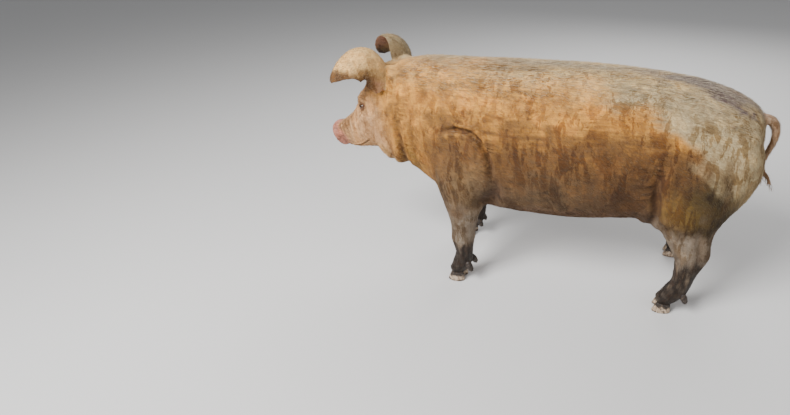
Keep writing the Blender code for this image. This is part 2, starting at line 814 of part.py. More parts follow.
# A small claw behind and above the hoof, clear of the ground
def add_dewclaw(name, place, outward):
    points, radii = [], []
    for i, size in enumerate(DEWCLAW_SHARES):
        share = i / (len(DEWCLAW_SHARES) - 1)
        lean = Vector((DEWCLAW_LEAN[0], outward * DEWCLAW_LEAN[1], -DEWCLAW_LENGTH))
        points.append(Vector(place) + lean * share)
        radii.append(DEWCLAW_RADIUS * size)
    return tube_form(name, points, radii, 8)


def add_foot(leg, name, side, is_front):
    hoof_x = HOOF_X[name]
    spread = FOOT_SPREAD["front" if is_front else "hind"]
    claws = []
    for label, outward in (("outer", side), ("inner", -side)):
        y = side * spread + outward * (CLAW_WIDTH + CLAW_GAP) / 2
        claws.append(add_claw(f"claw_{name}_{label}", hoof_x, y, outward))
        fetlock = FORE_LIMB[10] if is_front else HIND_LIMB[10]
        behind, beside, height = DEWCLAW_PLACE
        place = (hoof_x + fetlock[0] + behind, side * spread + outward * beside, height)
        claws.append(add_dewclaw(f"dewclaw_{name}_{label}", place, outward))
    boolean(leg, "DIFFERENCE", [swollen(claw) for claw in claws])
    return keep_largest(leg)


def add_tail(torso):
    rows = smooth_rows(TAIL, 24, [0, 1, 2])
    tail = tube_form("tail", [row[:3] for row in rows], [row[3] for row in rows], TAIL_SIDES)
    draw = random.Random(7)
    locks = []
    for i in range(TAIL_LOCKS):
        start = Vector(rows[-2 - i][:3])
        angle = math.tau * i / TAIL_LOCKS + draw.uniform(-0.3, 0.3)
        spread = Vector((math.cos(angle), math.sin(angle), 0.0))
        length = TAIL_LOCK_LENGTH * draw.uniform(0.75, 1.1)
        points, radii = [], []
        for k in range(5):
            share = k / 4
            reach = spread * (0.004 + 0.014 * math.sin(share * 1.9)) + Vector((0.0, 0.0, -share * length))
            points.append(start + reach)
            radii.append(TAIL_LOCK_RADIUS * (1.0 - 0.85 * share))
        locks.append(tube_form("tail_lock", points, radii, 5))
    boolean(tail, "UNION", locks)
    boolean(tail, "DIFFERENCE", [swollen(torso)])
    return keep_largest(tail)


def add_teats(torso, surface):
    teats = []
    for side in SIDES.values():
        for i in range(TEATS_A_SIDE):
            x = TEAT_FIRST_X + i * (TEAT_LAST_X - TEAT_FIRST_X) / (TEATS_A_SIDE - 1)
            start = Vector((x, side * TEAT_SPREAD, 0.0))
            hit, normal, _, _ = surface.ray_cast(start, Vector((0.0, 0.0, 1.0)))
            down = (normal + Vector((0.0, 0.0, -1.5))).normalized()
            points = [hit + down * distance for distance, _ in TEAT]
            teats.append(tube_form("teat", points, [radius for _, radius in TEAT], 7))
    boolean(torso, "UNION", teats)
    return keep_largest(torso)


def surface_of(item):
    return BVHTree.FromObject(item, bpy.context.evaluated_depsgraph_get())


# Building everything
def main():
    clear_scene()
    body = fuse(soft_forms(), "body")
    thin_out(body, in_head, HEAD_TRIANGLES)
    thin_out(body, lambda place: not in_head(place), BODY_TRIANGLES)
    nodes = part_body(body)
    head = nodes["head"]
    nodes["snout"] = add_snout(head)
    cut_mouth(head)
    surface = surface_of(head)
    for name, side in SIDES.items():
        nodes["eye_" + name] = add_eye(name, side, head, surface)
    keep_largest(head)
    for name, side in SIDES.items():
        nodes["ear_" + name] = add_ear(name, side, [head, nodes["neck"]])
        add_foot(nodes["leg_front_" + name], "front_" + name, side, True)
        add_foot(nodes["leg_hind_" + name], "hind_" + name, side, False)
    nodes["tail"] = add_tail(nodes["torso"])
    add_teats(nodes["torso"], surface_of(nodes["torso"]))
    for item in collection.objects:
        item.data.transform(Matrix.Translation((-MIDDLE_X, 0.0, 0.0)))
        give_material(item.name, item)


main()
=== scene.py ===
# A large farm pig that stands still: a folded skin under dried mud, a flat bristly coat, eyes and hooves
import math

import bmesh
import bpy
import numpy as np
from mathutils import Matrix, Vector
from mathutils.bvhtree import BVHTree


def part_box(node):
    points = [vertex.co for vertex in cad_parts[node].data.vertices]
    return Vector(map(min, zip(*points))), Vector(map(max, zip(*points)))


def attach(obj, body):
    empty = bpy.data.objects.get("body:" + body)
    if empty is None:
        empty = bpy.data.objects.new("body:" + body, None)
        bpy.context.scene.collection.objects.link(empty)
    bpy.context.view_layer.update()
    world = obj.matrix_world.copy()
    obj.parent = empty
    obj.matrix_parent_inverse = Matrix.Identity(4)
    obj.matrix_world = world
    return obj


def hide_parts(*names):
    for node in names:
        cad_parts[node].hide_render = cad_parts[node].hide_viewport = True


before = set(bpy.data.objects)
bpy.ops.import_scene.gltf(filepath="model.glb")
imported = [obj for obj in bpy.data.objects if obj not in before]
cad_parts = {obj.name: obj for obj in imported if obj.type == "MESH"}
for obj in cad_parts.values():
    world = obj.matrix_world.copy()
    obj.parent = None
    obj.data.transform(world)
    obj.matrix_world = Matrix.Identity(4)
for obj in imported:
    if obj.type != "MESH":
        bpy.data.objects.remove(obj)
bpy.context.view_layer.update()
scene = bpy.context.scene
sides = {"left": -1.0, "right": 1.0}

# The camera looks down on the near flank, with the frame centred behind the pig's middle
view = {
    "place": (0.428, -1.730, 1.411),
    "turn": -13.56,  # degrees off straight across the animal
    "tilt": 32.18,  # degrees down
    "roll": -1.3,
    "focal": 500.7,  # in pixels of the 790 wide frame
    "frameWidth": 790,
    "sensor": 36.0,
    "shift": -0.185,
}
studio = {
    "floorSize": 60.0,
    "floorColour": (0.60, 0.59, 0.58),
    "skyColour": (0.86, 0.88, 0.91),
    "skyStrength": 0.36,
    "lights": {  # place, size, power
        "key": ((-1.5, -2.3, 3.3), 1.9, 320.0),
        "fill": ((2.8, -1.2, 2.2), 2.6, 26.0),
        "back": ((0.6, 3.0, 2.8), 2.6, 100.0),
    },
    "aim": (0.0, 0.0, 0.45),
}


def linear(red, green, blue):
    # a colour as seen on a screen, 0 to 255, to the values that shaders use
    seen = np.array([red, green, blue]) / 255.0
    return np.where(seen <= 0.04045, seen / 12.92, ((seen + 0.055) / 1.055) ** 2.4)


def rise(values, low, high):
    # 0 below low, 1 above high and smooth between
    share = np.clip((values - low) / (high - low), 0.0, 1.0)
    return share * share * (3.0 - 2.0 * share)


def hump(values, width):
    return np.exp(-((values / width) ** 2))


def waves(points, size, seed, octaves=3):
    # a soft random pattern, about -1 to 1, whose lumps are as large as size
    draw = np.random.default_rng(seed)
    total = np.zeros(len(points))
    strength = 1.0
    for _ in range(octaves):
        for _ in range(7):
            way = draw.normal(size=3)
            way *= 2.0 * math.pi / (size * 1.6) / np.linalg.norm(way) * draw.uniform(0.7, 1.4)
            total += strength * 0.38 * np.sin(points @ way + draw.uniform(0, 2 * math.pi))
        size *= 0.5
        strength *= 0.5
    return total


def valuesOf(items, key, width=3, kind=float):
    values = np.empty(len(items) * width, dtype=kind)
    items.foreach_get(key, values)
    return values.reshape(-1, width)


def meshPoints(mesh):
    return valuesOf(mesh.vertices, "co")


def setPoints(mesh, points):
    mesh.vertices.foreach_set("co", points.astype(np.float32).ravel())
    mesh.update()


def meshNormals(mesh):
    return valuesOf(mesh.vertex_normals, "vector")


def meshEdges(mesh):
    return valuesOf(mesh.edges, "vertices", 2, np.int64)


def meshTriangles(mesh):
    return valuesOf(mesh.polygons, "vertices", 3, np.int64)


def evened(values, ends, rounds, share):
    # each vertex's values go a share of the way to the mean of its neighbours, round after round
    first, second = ends.T
    count = len(values)
    partners = np.maximum(np.bincount(first, minlength=count) + np.bincount(second, minlength=count), 1)
    values = values.copy()
    for _ in range(rounds):
        for k in range(values.shape[1]):
            column = values[:, k]
            total = np.bincount(first, column[second], count) + np.bincount(second, column[first], count)
            values[:, k] = column + share * (total / partners - column)
    return values


def between(values, low, full, fall, high):
    # 1 from full to fall, 0 below low and above high
    return rise(values, low, full) * rise(-values, -high, -fall)


def gapTo(points, place):
    return np.linalg.norm(points - np.array(place), axis=1)


def toUnit(rows):
    return rows / np.maximum(np.linalg.norm(rows, axis=1, keepdims=True), 1e-9)


def toMesh(shape, name):
    mesh = bpy.data.meshes.new(name)
    shape.to_mesh(mesh)
    shape.free()
    return mesh


def newObject(name, data):
    item = bpy.data.objects.new(name, data)
    scene.collection.objects.link(item)
    return item


def applyModifiers(item):
    graph = bpy.context.evaluated_depsgraph_get()
    graph.update()
    mesh = bpy.data.meshes.new_from_object(item.evaluated_get(graph))
    item.modifiers.clear()
    item.data = mesh
    return item


def cadShape(names, grow=None):
    # copies of the solids, their loose triangles merged, and each grown a little so that neighbours overlap
    whole = bmesh.new()
    for name in names:
        shape = bmesh.new()
        shape.from_mesh(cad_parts[name].data)
        bmesh.ops.remove_doubles(shape, verts=shape.verts, dist=0.00002)
        shape.normal_update()
        for vert in shape.verts:
            vert.co += vert.normal * (grow(name) if grow else 0.0)
        mesh = toMesh(shape, "grown")
        whole.from_mesh(mesh)
        bpy.data.meshes.remove(mesh)
    return whole


# Stage
def makeCamera():
    camera = newObject("camera", bpy.data.cameras.new("camera"))
    scene.camera = camera
    camera.data.sensor_width = view["sensor"]
    camera.data.lens = view["sensor"] * view["focal"] / view["frameWidth"]
    camera.data.shift_x = view["shift"]
    turn, tilt, roll = (math.radians(view[key]) for key in ("turn", "tilt", "roll"))
    ahead = Vector((math.sin(turn) * math.cos(tilt), math.cos(turn) * math.cos(tilt), -math.sin(tilt)))
    across = Vector((math.cos(turn), -math.sin(turn), 0.0))
    upward = across.cross(ahead)
    right = across * math.cos(roll) + upward * math.sin(roll)
    top = upward * math.cos(roll) - across * math.sin(roll)
    facing = Matrix((right, top, -ahead)).transposed().to_4x4()
    camera.matrix_world = Matrix.Translation(view["place"]) @ facing


def makeLight(name, place, size, power):
    light = bpy.data.lights.new(name, "AREA")
    light.energy = power
    light.size = size
    item = newObject(name, light)
    item.location = place
    item.rotation_euler = (Vector(studio["aim"]) - Vector(place)).to_track_quat("-Z", "Y").to_euler()


def makeStage():
    shape = bmesh.new()
    bmesh.ops.create_grid(shape, x_segments=8, y_segments=8, size=studio["floorSize"] / 2)
    floor = newObject("floor", toMesh(shape, "floor"))
    paint, tree, shader = newMaterial("paleFloor")
    fill(tree, shader, {"Base Color": (*studio["floorColour"], 1.0), "Roughness": 0.9})
    floor.data.materials.append(paint)
    scene.world = bpy.data.worlds.new("studio")
    scene.world.use_nodes = True
    tree = scene.world.node_tree
    sky = {"Color": (*studio["skyColour"], 1.0), "Strength": studio["skyStrength"]}
    fill(tree, tree.nodes["Background"], sky)
    for name, light in studio["lights"].items():
        makeLight(name, *light)


# Skin: the solids of flesh fused into one surface, evened, thinned and then carved
flesh = {
    "torso": {"even": 1.0, "depth": 0.0048},
    "neck": {"even": 1.0, "depth": 0.0048},
    "head": {"even": 0.30, "depth": 0.0028},
    "snout": {"even": 0.06, "depth": 0.0004},
    "ear": {"even": 0.12, "depth": 0.0013},
    "leg": {"even": 0.24, "depth": 0.0024},
    "tail": {"even": 0.12, "depth": 0.0012},
    "claw": {"even": 0.06, "depth": 0.0040},
    "dewclaw": {"even": 0.06, "depth": 0.0054},
}
kinds = list(flesh)
nodeKinds = {name: name.split("_")[0] for name in sorted(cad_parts)}
hornNodes = [name for name, kind in nodeKinds.items() if kind in ("claw", "dewclaw")]
fleshNodes = [name for name, kind in nodeKinds.items() if kind in flesh and name not in hornNodes]
skinMaking = {
    "grow": 0.00025,
    "growEar": 0.0009,  # the thin rims are thickened while the skin is remade
    "voxel": 0.0027,
    "evenRounds": 70,
    "evenShare": 0.6,
    "headStart": -0.515,  # the skin ahead of it is thinned as the head
    "bodyTriangles": 60000,
    "headTriangles": 55000,
    "eyeKept": 0.045,  # how far from the eyes the faces aren't thinned, then where they are cut finer
    "eyeFine": (0.030, 0.022),
    "foldFine": (0.036, 0.026),
    "blendRounds": 16,
    "lowest": 0.012,
}
teats = {
    "aSide": 7,
    "first": -0.168,
    "step": 0.10333,
    "spread": 0.070,
    "reach": 0.017,
    "top": 0.345,
}
head = {
    "base": Vector((-0.473, 0.0, 0.700)),
    "pitch": math.radians(20.0),
    "snoutCut": 0.374,
    "snoutFront": 0.4035,
    "mouthCorner": 0.232,
    "mouthFront": -0.050,
    "mouthFine": (0.011, 0.0065),  # how far from the mouth's line the skin is cut finer
    "mouthHalf": 0.09,
    "nostrilRise": 0.006,
    "nostrilSpread": 0.0215,
    "nostrilHalf": (0.0098, 0.0134),
    "wrinkles": ((0.367, 0.85, 0.0028), (0.353, 1.00, 0.0030), (0.336, 0.90, 0.0034),  # place, depth, width
                 (0.316, 0.75, 0.0038), (0.292, 0.60, 0.0044), (0.264, 0.45, 0.0050)),
    "wrinkleDepth": 0.0050,
}
eye = {
    "radius": 0.0144,
    "fill": 0.0162,
    "look": (-0.47, 0.84, 0.26),  # towards the nose, outwards, up
    "halfLength": 0.0122,
    "halfHeight": 0.0074,
    "lid": 0.0021,
    "inside": 0.0022,
    "lidFolds": ((0.0160, 0.0015, 0.0020), (0.0148, 0.0014, 0.0014)),  # upper and lower: place, width, depth
    "held": (0.0135, 0.0215),  # from where to where the lids run out into the skin
}
noseWay = np.array((-math.cos(head["pitch"]), 0.0, -math.sin(head["pitch"])))
browWay = np.array((-math.sin(head["pitch"]), 0.0, math.cos(head["pitch"])))


def headPlaces(points):
    # u along the nose, v up from that line, w to the animal's left
    away = points - np.array(head["base"])
    return away @ noseWay, away @ browWay, -away[:, 1]


def eyeFrame(name):
    # centre of the eyeball, its look, and the axes towards the nose and up across the opening
    low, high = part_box("eye_" + name)
    ahead, outward, upward = eye["look"]
    look = Vector((ahead, sides[name] * outward, upward)).normalized()
    nose = Vector(noseWay)
    nose = (nose - look * nose.dot(look)).normalized()
    top = look.cross(nose)
    return (low + high) / 2, look, nose, top if top.z > 0 else -top


def part(share, kind):
    # how much of each place belongs to one kind of flesh
    return share[:, kinds.index(kind)]


def fromTable(share, table, key):
    return share @ np.array([table[kind][key] for kind in kinds])


def nearestKinds(points):
    # which kind of flesh each point belongs to, by the nearest face of the solids
    corners, faces, owner = [], [], []
    for name in fleshNodes + hornNodes:
        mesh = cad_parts[name].data
        start = len(corners)
        corners.extend(vert.co.copy() for vert in mesh.vertices)
        for face in mesh.polygons:
            faces.append([start + k for k in face.vertices])
            owner.append(kinds.index(nodeKinds[name]))
    tree = BVHTree.FromPolygons(corners, faces)
    found = np.array([owner[tree.find_nearest(point)[2]] for point in points.tolist()])
    return np.eye(len(kinds))[found]


def thinned(item, chosen, triangles):
    # fewer faces where chosen says so
    item.vertex_groups.new(name="chosen").add(np.nonzero(chosen)[0].tolist(), 1.0, "REPLACE")
    item.data.calc_loop_triangles()
    corners = valuesOf(item.data.loop_triangles, "vertices", 3, np.int64)
    inside = chosen[corners].all(axis=1).sum()
    fewer = item.modifiers.new("fewer", "DECIMATE")
    fewer.vertex_group = "chosen"
    fewer.vertex_group_factor = 1.0
    fewer.use_collapse_triangulate = True
    fewer.ratio = (len(corners) - inside + triangles) / len(corners)
    applyModifiers(item)
    item.vertex_groups.clear()


def refined(item, chosen):
    # every edge within the chosen places is cut in two
    shape = bmesh.new()
    shape.from_mesh(item.data)
    picked = set(np.nonzero(chosen(meshPoints(item.data)))[0].tolist())
    near = [edge for edge in shape.edges if edge.verts[0].index in picked and edge.verts[1].index in picked]
    bmesh.ops.subdivide_edges(shape, edges=near, cuts=1, use_grid_fill=False)
    bmesh.ops.triangulate(shape, faces=[face for face in shape.faces if len(face.verts) > 3])
    shape.to_mesh(item.data)
    shape.free()


def nearEyes(points, reach):
    return np.any([gapTo(points, eyeFrame(name)[0]) < reach for name in sides], axis=0)


def mouthGap(u, v):
    # how far above the line of the mouth, and how far along it from the corner
    share = (u - head["mouthCorner"]) / (head["snoutCut"] + 0.02 - head["mouthCorner"])
    held = np.clip(share, 0.0, 1.0)
    line = head["mouthFront"] - 0.012 * np.sin(math.pi * held) + 0.006 * (1.0 - held) ** 2
    return v - line, share


def faceZone(points):
    # the mouth's line and the snout
    u, v, w = headPlaces(points)
    gap, share = mouthGap(u, v)
    lips = (np.abs(gap) < head["mouthFine"][0]) & (share > -0.16)
    return ((u > 0.335) | lips) & (np.abs(w) < head["mouthHalf"])


def lipZone(points):
    u, v, w = headPlaces(points)
    gap, share = mouthGap(u, v)
    return (np.abs(gap) < head["mouthFine"][1]) & (share > -0.14) & (np.abs(w) < head["mouthHalf"])


def nearTeats(points):
    x, y, z = points.T
    count = np.clip(np.round((x - teats["first"]) / teats["step"]), 0, teats["aSide"] - 1)
    away = np.hypot(x - teats["first"] - count * teats["step"], np.abs(y) - teats["spread"])
    return (1.0 - rise(away, 0.7 * teats["reach"], 1.3 * teats["reach"])) * (z < teats["top"])


def nearFolds(points, reach, *names):
    straight = np.zeros_like(points)
    return np.any([foldGap(points, straight, folds[name][3])[0] < reach for name in names], axis=0)


def fusedSkin():
    grow = {"ear": skinMaking["growEar"]}
    shape = cadShape(fleshNodes + hornNodes, lambda name: grow.get(nodeKinds[name], skinMaking["grow"]))
    for name in sides:
        place = Matrix.Translation(eyeFrame(name)[0])
        bmesh.ops.create_icosphere(shape, subdivisions=4, radius=eye["fill"], matrix=place)
    skin = newObject("skin", toMesh(shape, "skin"))
    remade = skin.modifiers.new("remade", "REMESH")
    remade.mode = "VOXEL"
    remade.voxel_size = skinMaking["voxel"]
    applyModifiers(skin)
    points = meshPoints(skin.data)
    ends = meshEdges(skin.data)
    soft = evened(fromTable(nearestKinds(points), flesh, "even")[:, None], ends, 10, 0.5)[:, 0]
    soft *= (1.0 - 0.6 * rise(0.10 - points[:, 2], 0.0, 0.05)) * (1.0 - 0.93 * nearTeats(points))
    points = evened(points, ends, skinMaking["evenRounds"], skinMaking["evenShare"] * soft)
    setPoints(skin.data, points)
    thinned(skin, meshPoints(skin.data)[:, 0] >= skinMaking["headStart"], skinMaking["bodyTriangles"])
    points = meshPoints(skin.data)
    inHead = (points[:, 0] < skinMaking["headStart"]) & ~nearEyes(points, skinMaking["eyeKept"])
    thinned(skin, inHead, skinMaking["headTriangles"])
    (eyeFine, eyeFiner), (foldFine, foldFiner) = skinMaking["eyeFine"], skinMaking["foldFine"]
    refined(skin, lambda places: nearFolds(places, foldFine, "shoulderBlade", "flankFold", "behindJowl"))
    refined(skin, lambda places: nearFolds(places, foldFiner, "shoulderBlade"))
    refined(skin, lambda places: nearEyes(places, eyeFine) | faceZone(places))
    refined(skin, lambda places: nearEyes(places, eyeFiner) | lipZone(places))
    print("skin fused:", len(skin.data.polygons), "triangles")
    return skin


# Folds: width, depth, the swelling beside, and a line in millimetres on the left side that the right mirrors
folds = {
    "shoulderBlade": (0.009, 0.0125, 0.006, [
        (-301, -208, 700), (-242, -213, 714), (-186, -218, 706), (-152, -223, 679), (-128, -228, 640),
        (-116, -231, 590), (-122, -230, 535)]),
    "shoulderLow": (0.0075, 0.004, 0.0018, [
        (-196, -217, 709), (-160, -222, 686), (-136, -226, 654), (-122, -230, 612), (-116, -231, 575)]),
    "armpit": (0.026, 0.019, 0.004, [
        (-105, -226, 545), (-112, -226, 490), (-130, -214, 440), (-160, -190, 400), (-195, -140, 370)]),
    "flankFold": (0.015, 0.015, 0.005, [
        (455, -120, 350), (464, -170, 385), (474, -204, 444), (470, -210, 500), (468, -215, 549),
        (476, -217, 600), (490, -213, 660)]),
    "hamEdge": (0.012, 0.0065, 0.0035, [
        (480, -200, 400), (511, -205, 393), (551, -220, 383), (597, -225, 367), (640, -215, 372)]),
    "hamMuscle": (0.02, 0.007, 0.0025, [
        (690, -200, 700), (700, -215, 620), (705, -212, 540), (690, -200, 460)]),
    "behindJowl": (0.014, 0.011, 0.005, [
        (-505, -110, 830), (-498, -165, 760), (-492, -178, 680), (-492, -160, 590), (-505, -120, 520),
        (-520, -60, 480)]),
    "neckFold": (0.014, 0.0065, 0.003, [
        (-450, -120, 850), (-440, -180, 780), (-432, -198, 690), (-430, -185, 590), (-440, -140, 500)]),
    "throat": (0.009, 0.0055, 0.003, [
        (-560, -130, 640), (-552, -138, 590), (-556, -118, 540), (-575, -80, 505), (-590, -30, 492)]),
    "mouthCorner": (0.0055, 0.004, 0.002, [
        (-690, -78, 612), (-668, -96, 604), (-648, -105, 588), (-634, -100, 566)]),
    "besideNose": (0.013, 0.0042, 0.001, [
        (-700, -66, 700), (-728, -58, 664), (-758, -54, 634), (-790, -54, 606)]),
    "cheekbone": (0.015, -0.003, -0.0015, [
        (-690, -88, 676), (-650, -110, 680), (-605, -135, 700), (-560, -142, 740)]),
    "underEye": (0.0036, 0.003, 0.0018, [
        (-704, -76, 708), (-684, -93, 695), (-662, -103, 691), (-636, -108, 699)]),
    "lowerUnderEye": (0.004, 0.0022, 0.0012, [
        (-700, -78, 694), (-676, -96, 682), (-648, -106, 682)]),
    "overEye": (0.004, 0.0034, 0.0026, [
        (-698, -68, 744), (-676, -85, 756), (-648, -100, 758), (-618, -110, 752)]),
    "brow": (0.005, 0.0026, 0.0022, [
        (-690, -60, 758), (-664, -80, 772), (-632, -96, 776), (-602, -106, 778)]),
    "hock": (0.012, 0.008, 0.0025, [
        (628, -212, 420), (634, -212, 360), (640, -206, 305), (638, -202, 262)]),
    "frontTendon": (0.007, 0.0034, 0.0014, [
        (-268, -204, 205), (-270, -202, 165), (-274, -200, 128)]),
    "hindTendon": (0.0075, 0.0036, 0.0014, [
        (618, -224, 215), (612, -222, 170), (606, -222, 128)]),
}
# Broad swells and hollows: place on the left side, radius, height
swells = {
    "shoulder": ((-0.250, -0.215, 0.610), 0.100, 0.0080),
    "behindShoulder": ((-0.060, -0.232, 0.620), 0.075, -0.0065),
    "elbow": ((-0.225, -0.205, 0.440), 0.050, 0.0070),
    "loin": ((0.330, -0.200, 0.760), 0.110, -0.0045),
    "stifle": ((0.530, -0.215, 0.450), 0.060, 0.0090),
    "hollowFlank": ((0.410, -0.215, 0.540), 0.060, -0.0070),
    "ham": ((0.620, -0.215, 0.580), 0.100, 0.0050),
    "cheek": ((-0.560, -0.150, 0.630), 0.055, 0.0050),
    "knee": ((-0.315, -0.170, 0.225), 0.030, 0.0040),
    "kneeBack": ((-0.245, -0.163, 0.240), 0.020, 0.0030),
    "fetlock": ((-0.300, -0.163, 0.110), 0.026, 0.0030),
    "hindFetlock": ((0.560, -0.186, 0.108), 0.026, 0.0030),
    "cannon": ((-0.300, -0.163, 0.160), 0.024, -0.0026),
    "hindCannon": ((0.580, -0.186, 0.158), 0.026, -0.0022),
}
stance = {
    "front": -0.065,  # how far the right feet stand behind or ahead of the left ones
    "hind": 0.034,
    "middle": 0.1,  # behind it a leg is a hind leg
    "top": 0.69,
    "footSpread": (0.164, 0.186),  # front and hind
    "mudTop": (0.190, 0.225),
    "creases": (  # height, width, depth
        (0.232, 0.006, 0.0020), (0.196, 0.005, 0.0016), (0.118, 0.005, 0.0022), (0.104, 0.004, 0.0020),
        (0.074, 0.005, 0.0016),
    ),
}


def lineDistance(points, normals, line):
    # distance along the skin to a line through places, and the share of its length where it is nearest
    places = np.array(line) / 1000.0
    steps = np.linalg.norm(np.diff(places, axis=0), axis=1)
    along = np.concatenate([[0.0], np.cumsum(steps)]) / steps.sum()
    nearest = np.full(len(points), 9.0)
    beside = nearest.copy()
    share = np.zeros(len(points))
    for k, step in enumerate(steps):
        way = (places[k + 1] - places[k]) / step
        reach = np.clip((points - places[k]) @ way, 0.0, step)
        away = points - places[k] - reach[:, None] * way
        gap = np.linalg.norm(away, axis=1)
        closer = (gap < nearest) & (gap < 0.08)
        flat = away - normals * (away * normals).sum(1, keepdims=True)
        nearest[closer] = gap[closer]
        beside[closer] = np.linalg.norm(flat, axis=1)[closer]
        share[closer] = (along[k] + (along[k + 1] - along[k]) * reach / step)[closer]
    return beside, share


def asLeft(points):
    # the same place on the left side, with the legs brought in line
    x, y, z = points.T
    lean = np.where(x < stance["middle"], stance["front"], stance["hind"])
    lean = np.where(y > 0, lean * np.clip(1.0 - z / stance["top"], 0.0, 1.0), 0.0)
    return np.stack([x - lean, -np.abs(y), z], 1)


def foldGap(points, normals, line):
    # distance to a fold, on either side of the pig, and how strong the fold is there
    mirrored = normals.copy()
    mirrored[points[:, 1] > 0, 1] *= -1.0
    gap, share = lineDistance(asLeft(points), mirrored, line)
    return gap, np.sqrt(np.clip(np.sin(math.pi * np.clip(share, 0.02, 0.98)), 0.0, 1.0))


def foldsAt(points, normals, deeper=-1.0):
    # the sizes of each fold that is deep enough, with the distance to it and its strength at each place
    for width, depth, swell, line in folds.values():
        if depth > deeper:
            yield width, depth, swell, *foldGap(points, normals, line)


def foldHeights(points, normals):
    places = asLeft(points)
    total = np.zeros(len(points))
    for width, depth, swell, gap, fade in foldsAt(points, normals):
        total += fade * (swell * hump(gap - 2.0 * width, width) - depth * hump(gap, width))
    for place, radius, height in swells.values():
        total += height * hump(gapTo(places, place), radius)
    toes = np.abs(places[:, 1]) - np.where(places[:, 0] < stance["middle"], *stance["footSpread"])
    total -= 0.0050 * hump(toes, 0.0045) * rise(0.082 - places[:, 2], 0.0, 0.025)
    return total


def bodyHeights(points, normals, share):
    # the broad hollows and the fine folds of the trunk and legs
    x, y, z = points.T
    trunk = part(share, "torso") + part(share, "neck")
    legs = part(share, "leg")
    upper = rise(normals[:, 2], 0.4, 0.9)
    rear = rise(normals[:, 0], 0.3, 0.8)
    beside = np.abs(normals[:, 1])
    total = -0.0034 * hump(y, 0.020) * upper * between(x, -0.30, -0.10, 0.50, 0.70)
    total += 0.0016 * hump(np.abs(y) - 0.045, 0.022) * upper * rise(x, -0.30, -0.10)
    total -= 0.0130 * hump(y, 0.016) * rear * between(z, 0.42, 0.50, 0.64, 0.70)
    ribs = np.sin((x + 0.22 * (z - 0.6)) * 2.0 * math.pi / 0.058)
    total += 0.0008 * ribs * beside * trunk * between(x, -0.10, 0.02, 0.30, 0.42) * rise(z, 0.46, 0.56)
    total += (0.0018 * waves(points, 0.120, 3) + 0.0007 * waves(points, 0.034, 4)) * trunk
    wrinkle = 1.0 - np.abs(waves(points * (1.0, 1.0, 0.28), 0.026, 5, 2))
    total += (0.0005 + 0.0014 * rise(-x, 0.05, 0.40)) * wrinkle * beside * trunk
    total += 0.0005 * waves(points * (1.0, 1.0, 2.2), 0.016, 6, 2) * legs
    wave = 0.006 * np.sin(x * 70.0) + 0.004 * np.sin(y * 110.0)
    for level, width, depth in stance["creases"]:
        total -= depth * hump(z - level - wave, width) * legs
    return total * (1.0 - nearTeats(points))


def noseWrinkles(u, v, w):
    # the folds across the nose, 1 at the bottom of the deepest
    bend = 0.005 * np.cos(w * 55.0) - 0.004
    total = sum(depth * hump(u - place - bend, width) for place, depth, width in head["wrinkles"])
    return total * rise(v, -0.020, 0.025)


def nostrilRings(v, w):
    # for each nostril, 0 at its middle and 1 on its rim
    width, height = head["nostrilHalf"]
    for side in (-1.0, 1.0):
        yield np.hypot((w - side * head["nostrilSpread"]) / width, (v - head["nostrilRise"]) / height)


def headHeights(points, share):
    u, v, w = headPlaces(points)
    face = part(share, "head") + 0.6 * part(share, "snout")
    total = -head["wrinkleDepth"] * noseWrinkles(u, v, w) * face
    brow = between(u, 0.09, 0.13, 0.20, 0.26) * rise(v, 0.06, 0.10)
    total -= 0.0030 * brow * hump(np.abs(w) - 0.016 - 0.004 * np.sin(u * 60.0), 0.0046)
    total -= 0.0018 * brow * hump(w + 0.003 * np.sin(u * 80.0), 0.0040)
    gap, along = mouthGap(u, v)
    lips = rise(along, -0.06, 0.06) * np.clip(face, 0.0, 1.0)
    total -= 0.0066 * lips * hump(gap, 0.0023)
    total += 0.0024 * lips * (hump(gap - 0.0066, 0.0036) + 0.8 * hump(gap + 0.0062, 0.0036))
    total += 0.0030 * hump(np.hypot(u - 0.335, v + 0.078), 0.020) * hump(w, 0.030) * face
    total += 0.0011 * (1.0 - np.abs(waves(points * (0.6, 1.0, 1.0), 0.020, 8, 2))) * face
    total += 0.0009 * waves(points, 0.055, 9) * face
    disc = part(share, "snout") * rise(u, 0.392, 0.398)
    for ring in nostrilRings(v, w):
        total += 0.0014 * disc * hump(ring - 1.32, 0.22)
    total += 0.0003 * waves(points, 0.005, 10, 1) * disc
    return total + 0.0005 * (1.0 - np.abs(waves(points, 0.026, 11, 2))) * part(share, "ear")


def carveEyes(points):
    # lids close round each eyeball, and the skin dips behind it inside the opening
    for name in sides:
        centre, look, nose, top = (np.array(value) for value in eyeFrame(name))
        away = points - centre
        distance = np.linalg.norm(away, axis=1)
        near = (distance < 0.050) & (away @ look > 0.0)
        ahead, upward = away @ nose, away @ top
        reach = np.clip(np.abs(ahead) / eye["halfLength"], 0.0, 1.0)
        height = eye["halfHeight"] * np.where(upward > 0, 1.0, 0.82) * (1.0 - reach**2.2)
        almond = np.abs(upward) / np.maximum(height, 0.0008)
        almond = np.where(np.abs(ahead) > eye["halfLength"], 4.0, almond)
        inside = eye["radius"] - eye["inside"]
        lid = eye["radius"] + eye["lid"] + 0.0007 * hump(almond - 1.3, 0.35)
        wanted = inside + (lid - inside) * rise(almond, 0.90, 1.10)
        ring = np.hypot(ahead, upward)
        for (place, width, depth), here in zip(eye["lidFolds"], (upward > 0, upward <= 0)):
            wanted -= depth * hump(ring - place, width) * here
        hold = (1.0 - rise(ring, *eye["held"])) * near
        new = distance * (1.0 - hold) + wanted * hold
        points = centre + away * (new / np.maximum(distance, 1e-6))[:, None]
    return points


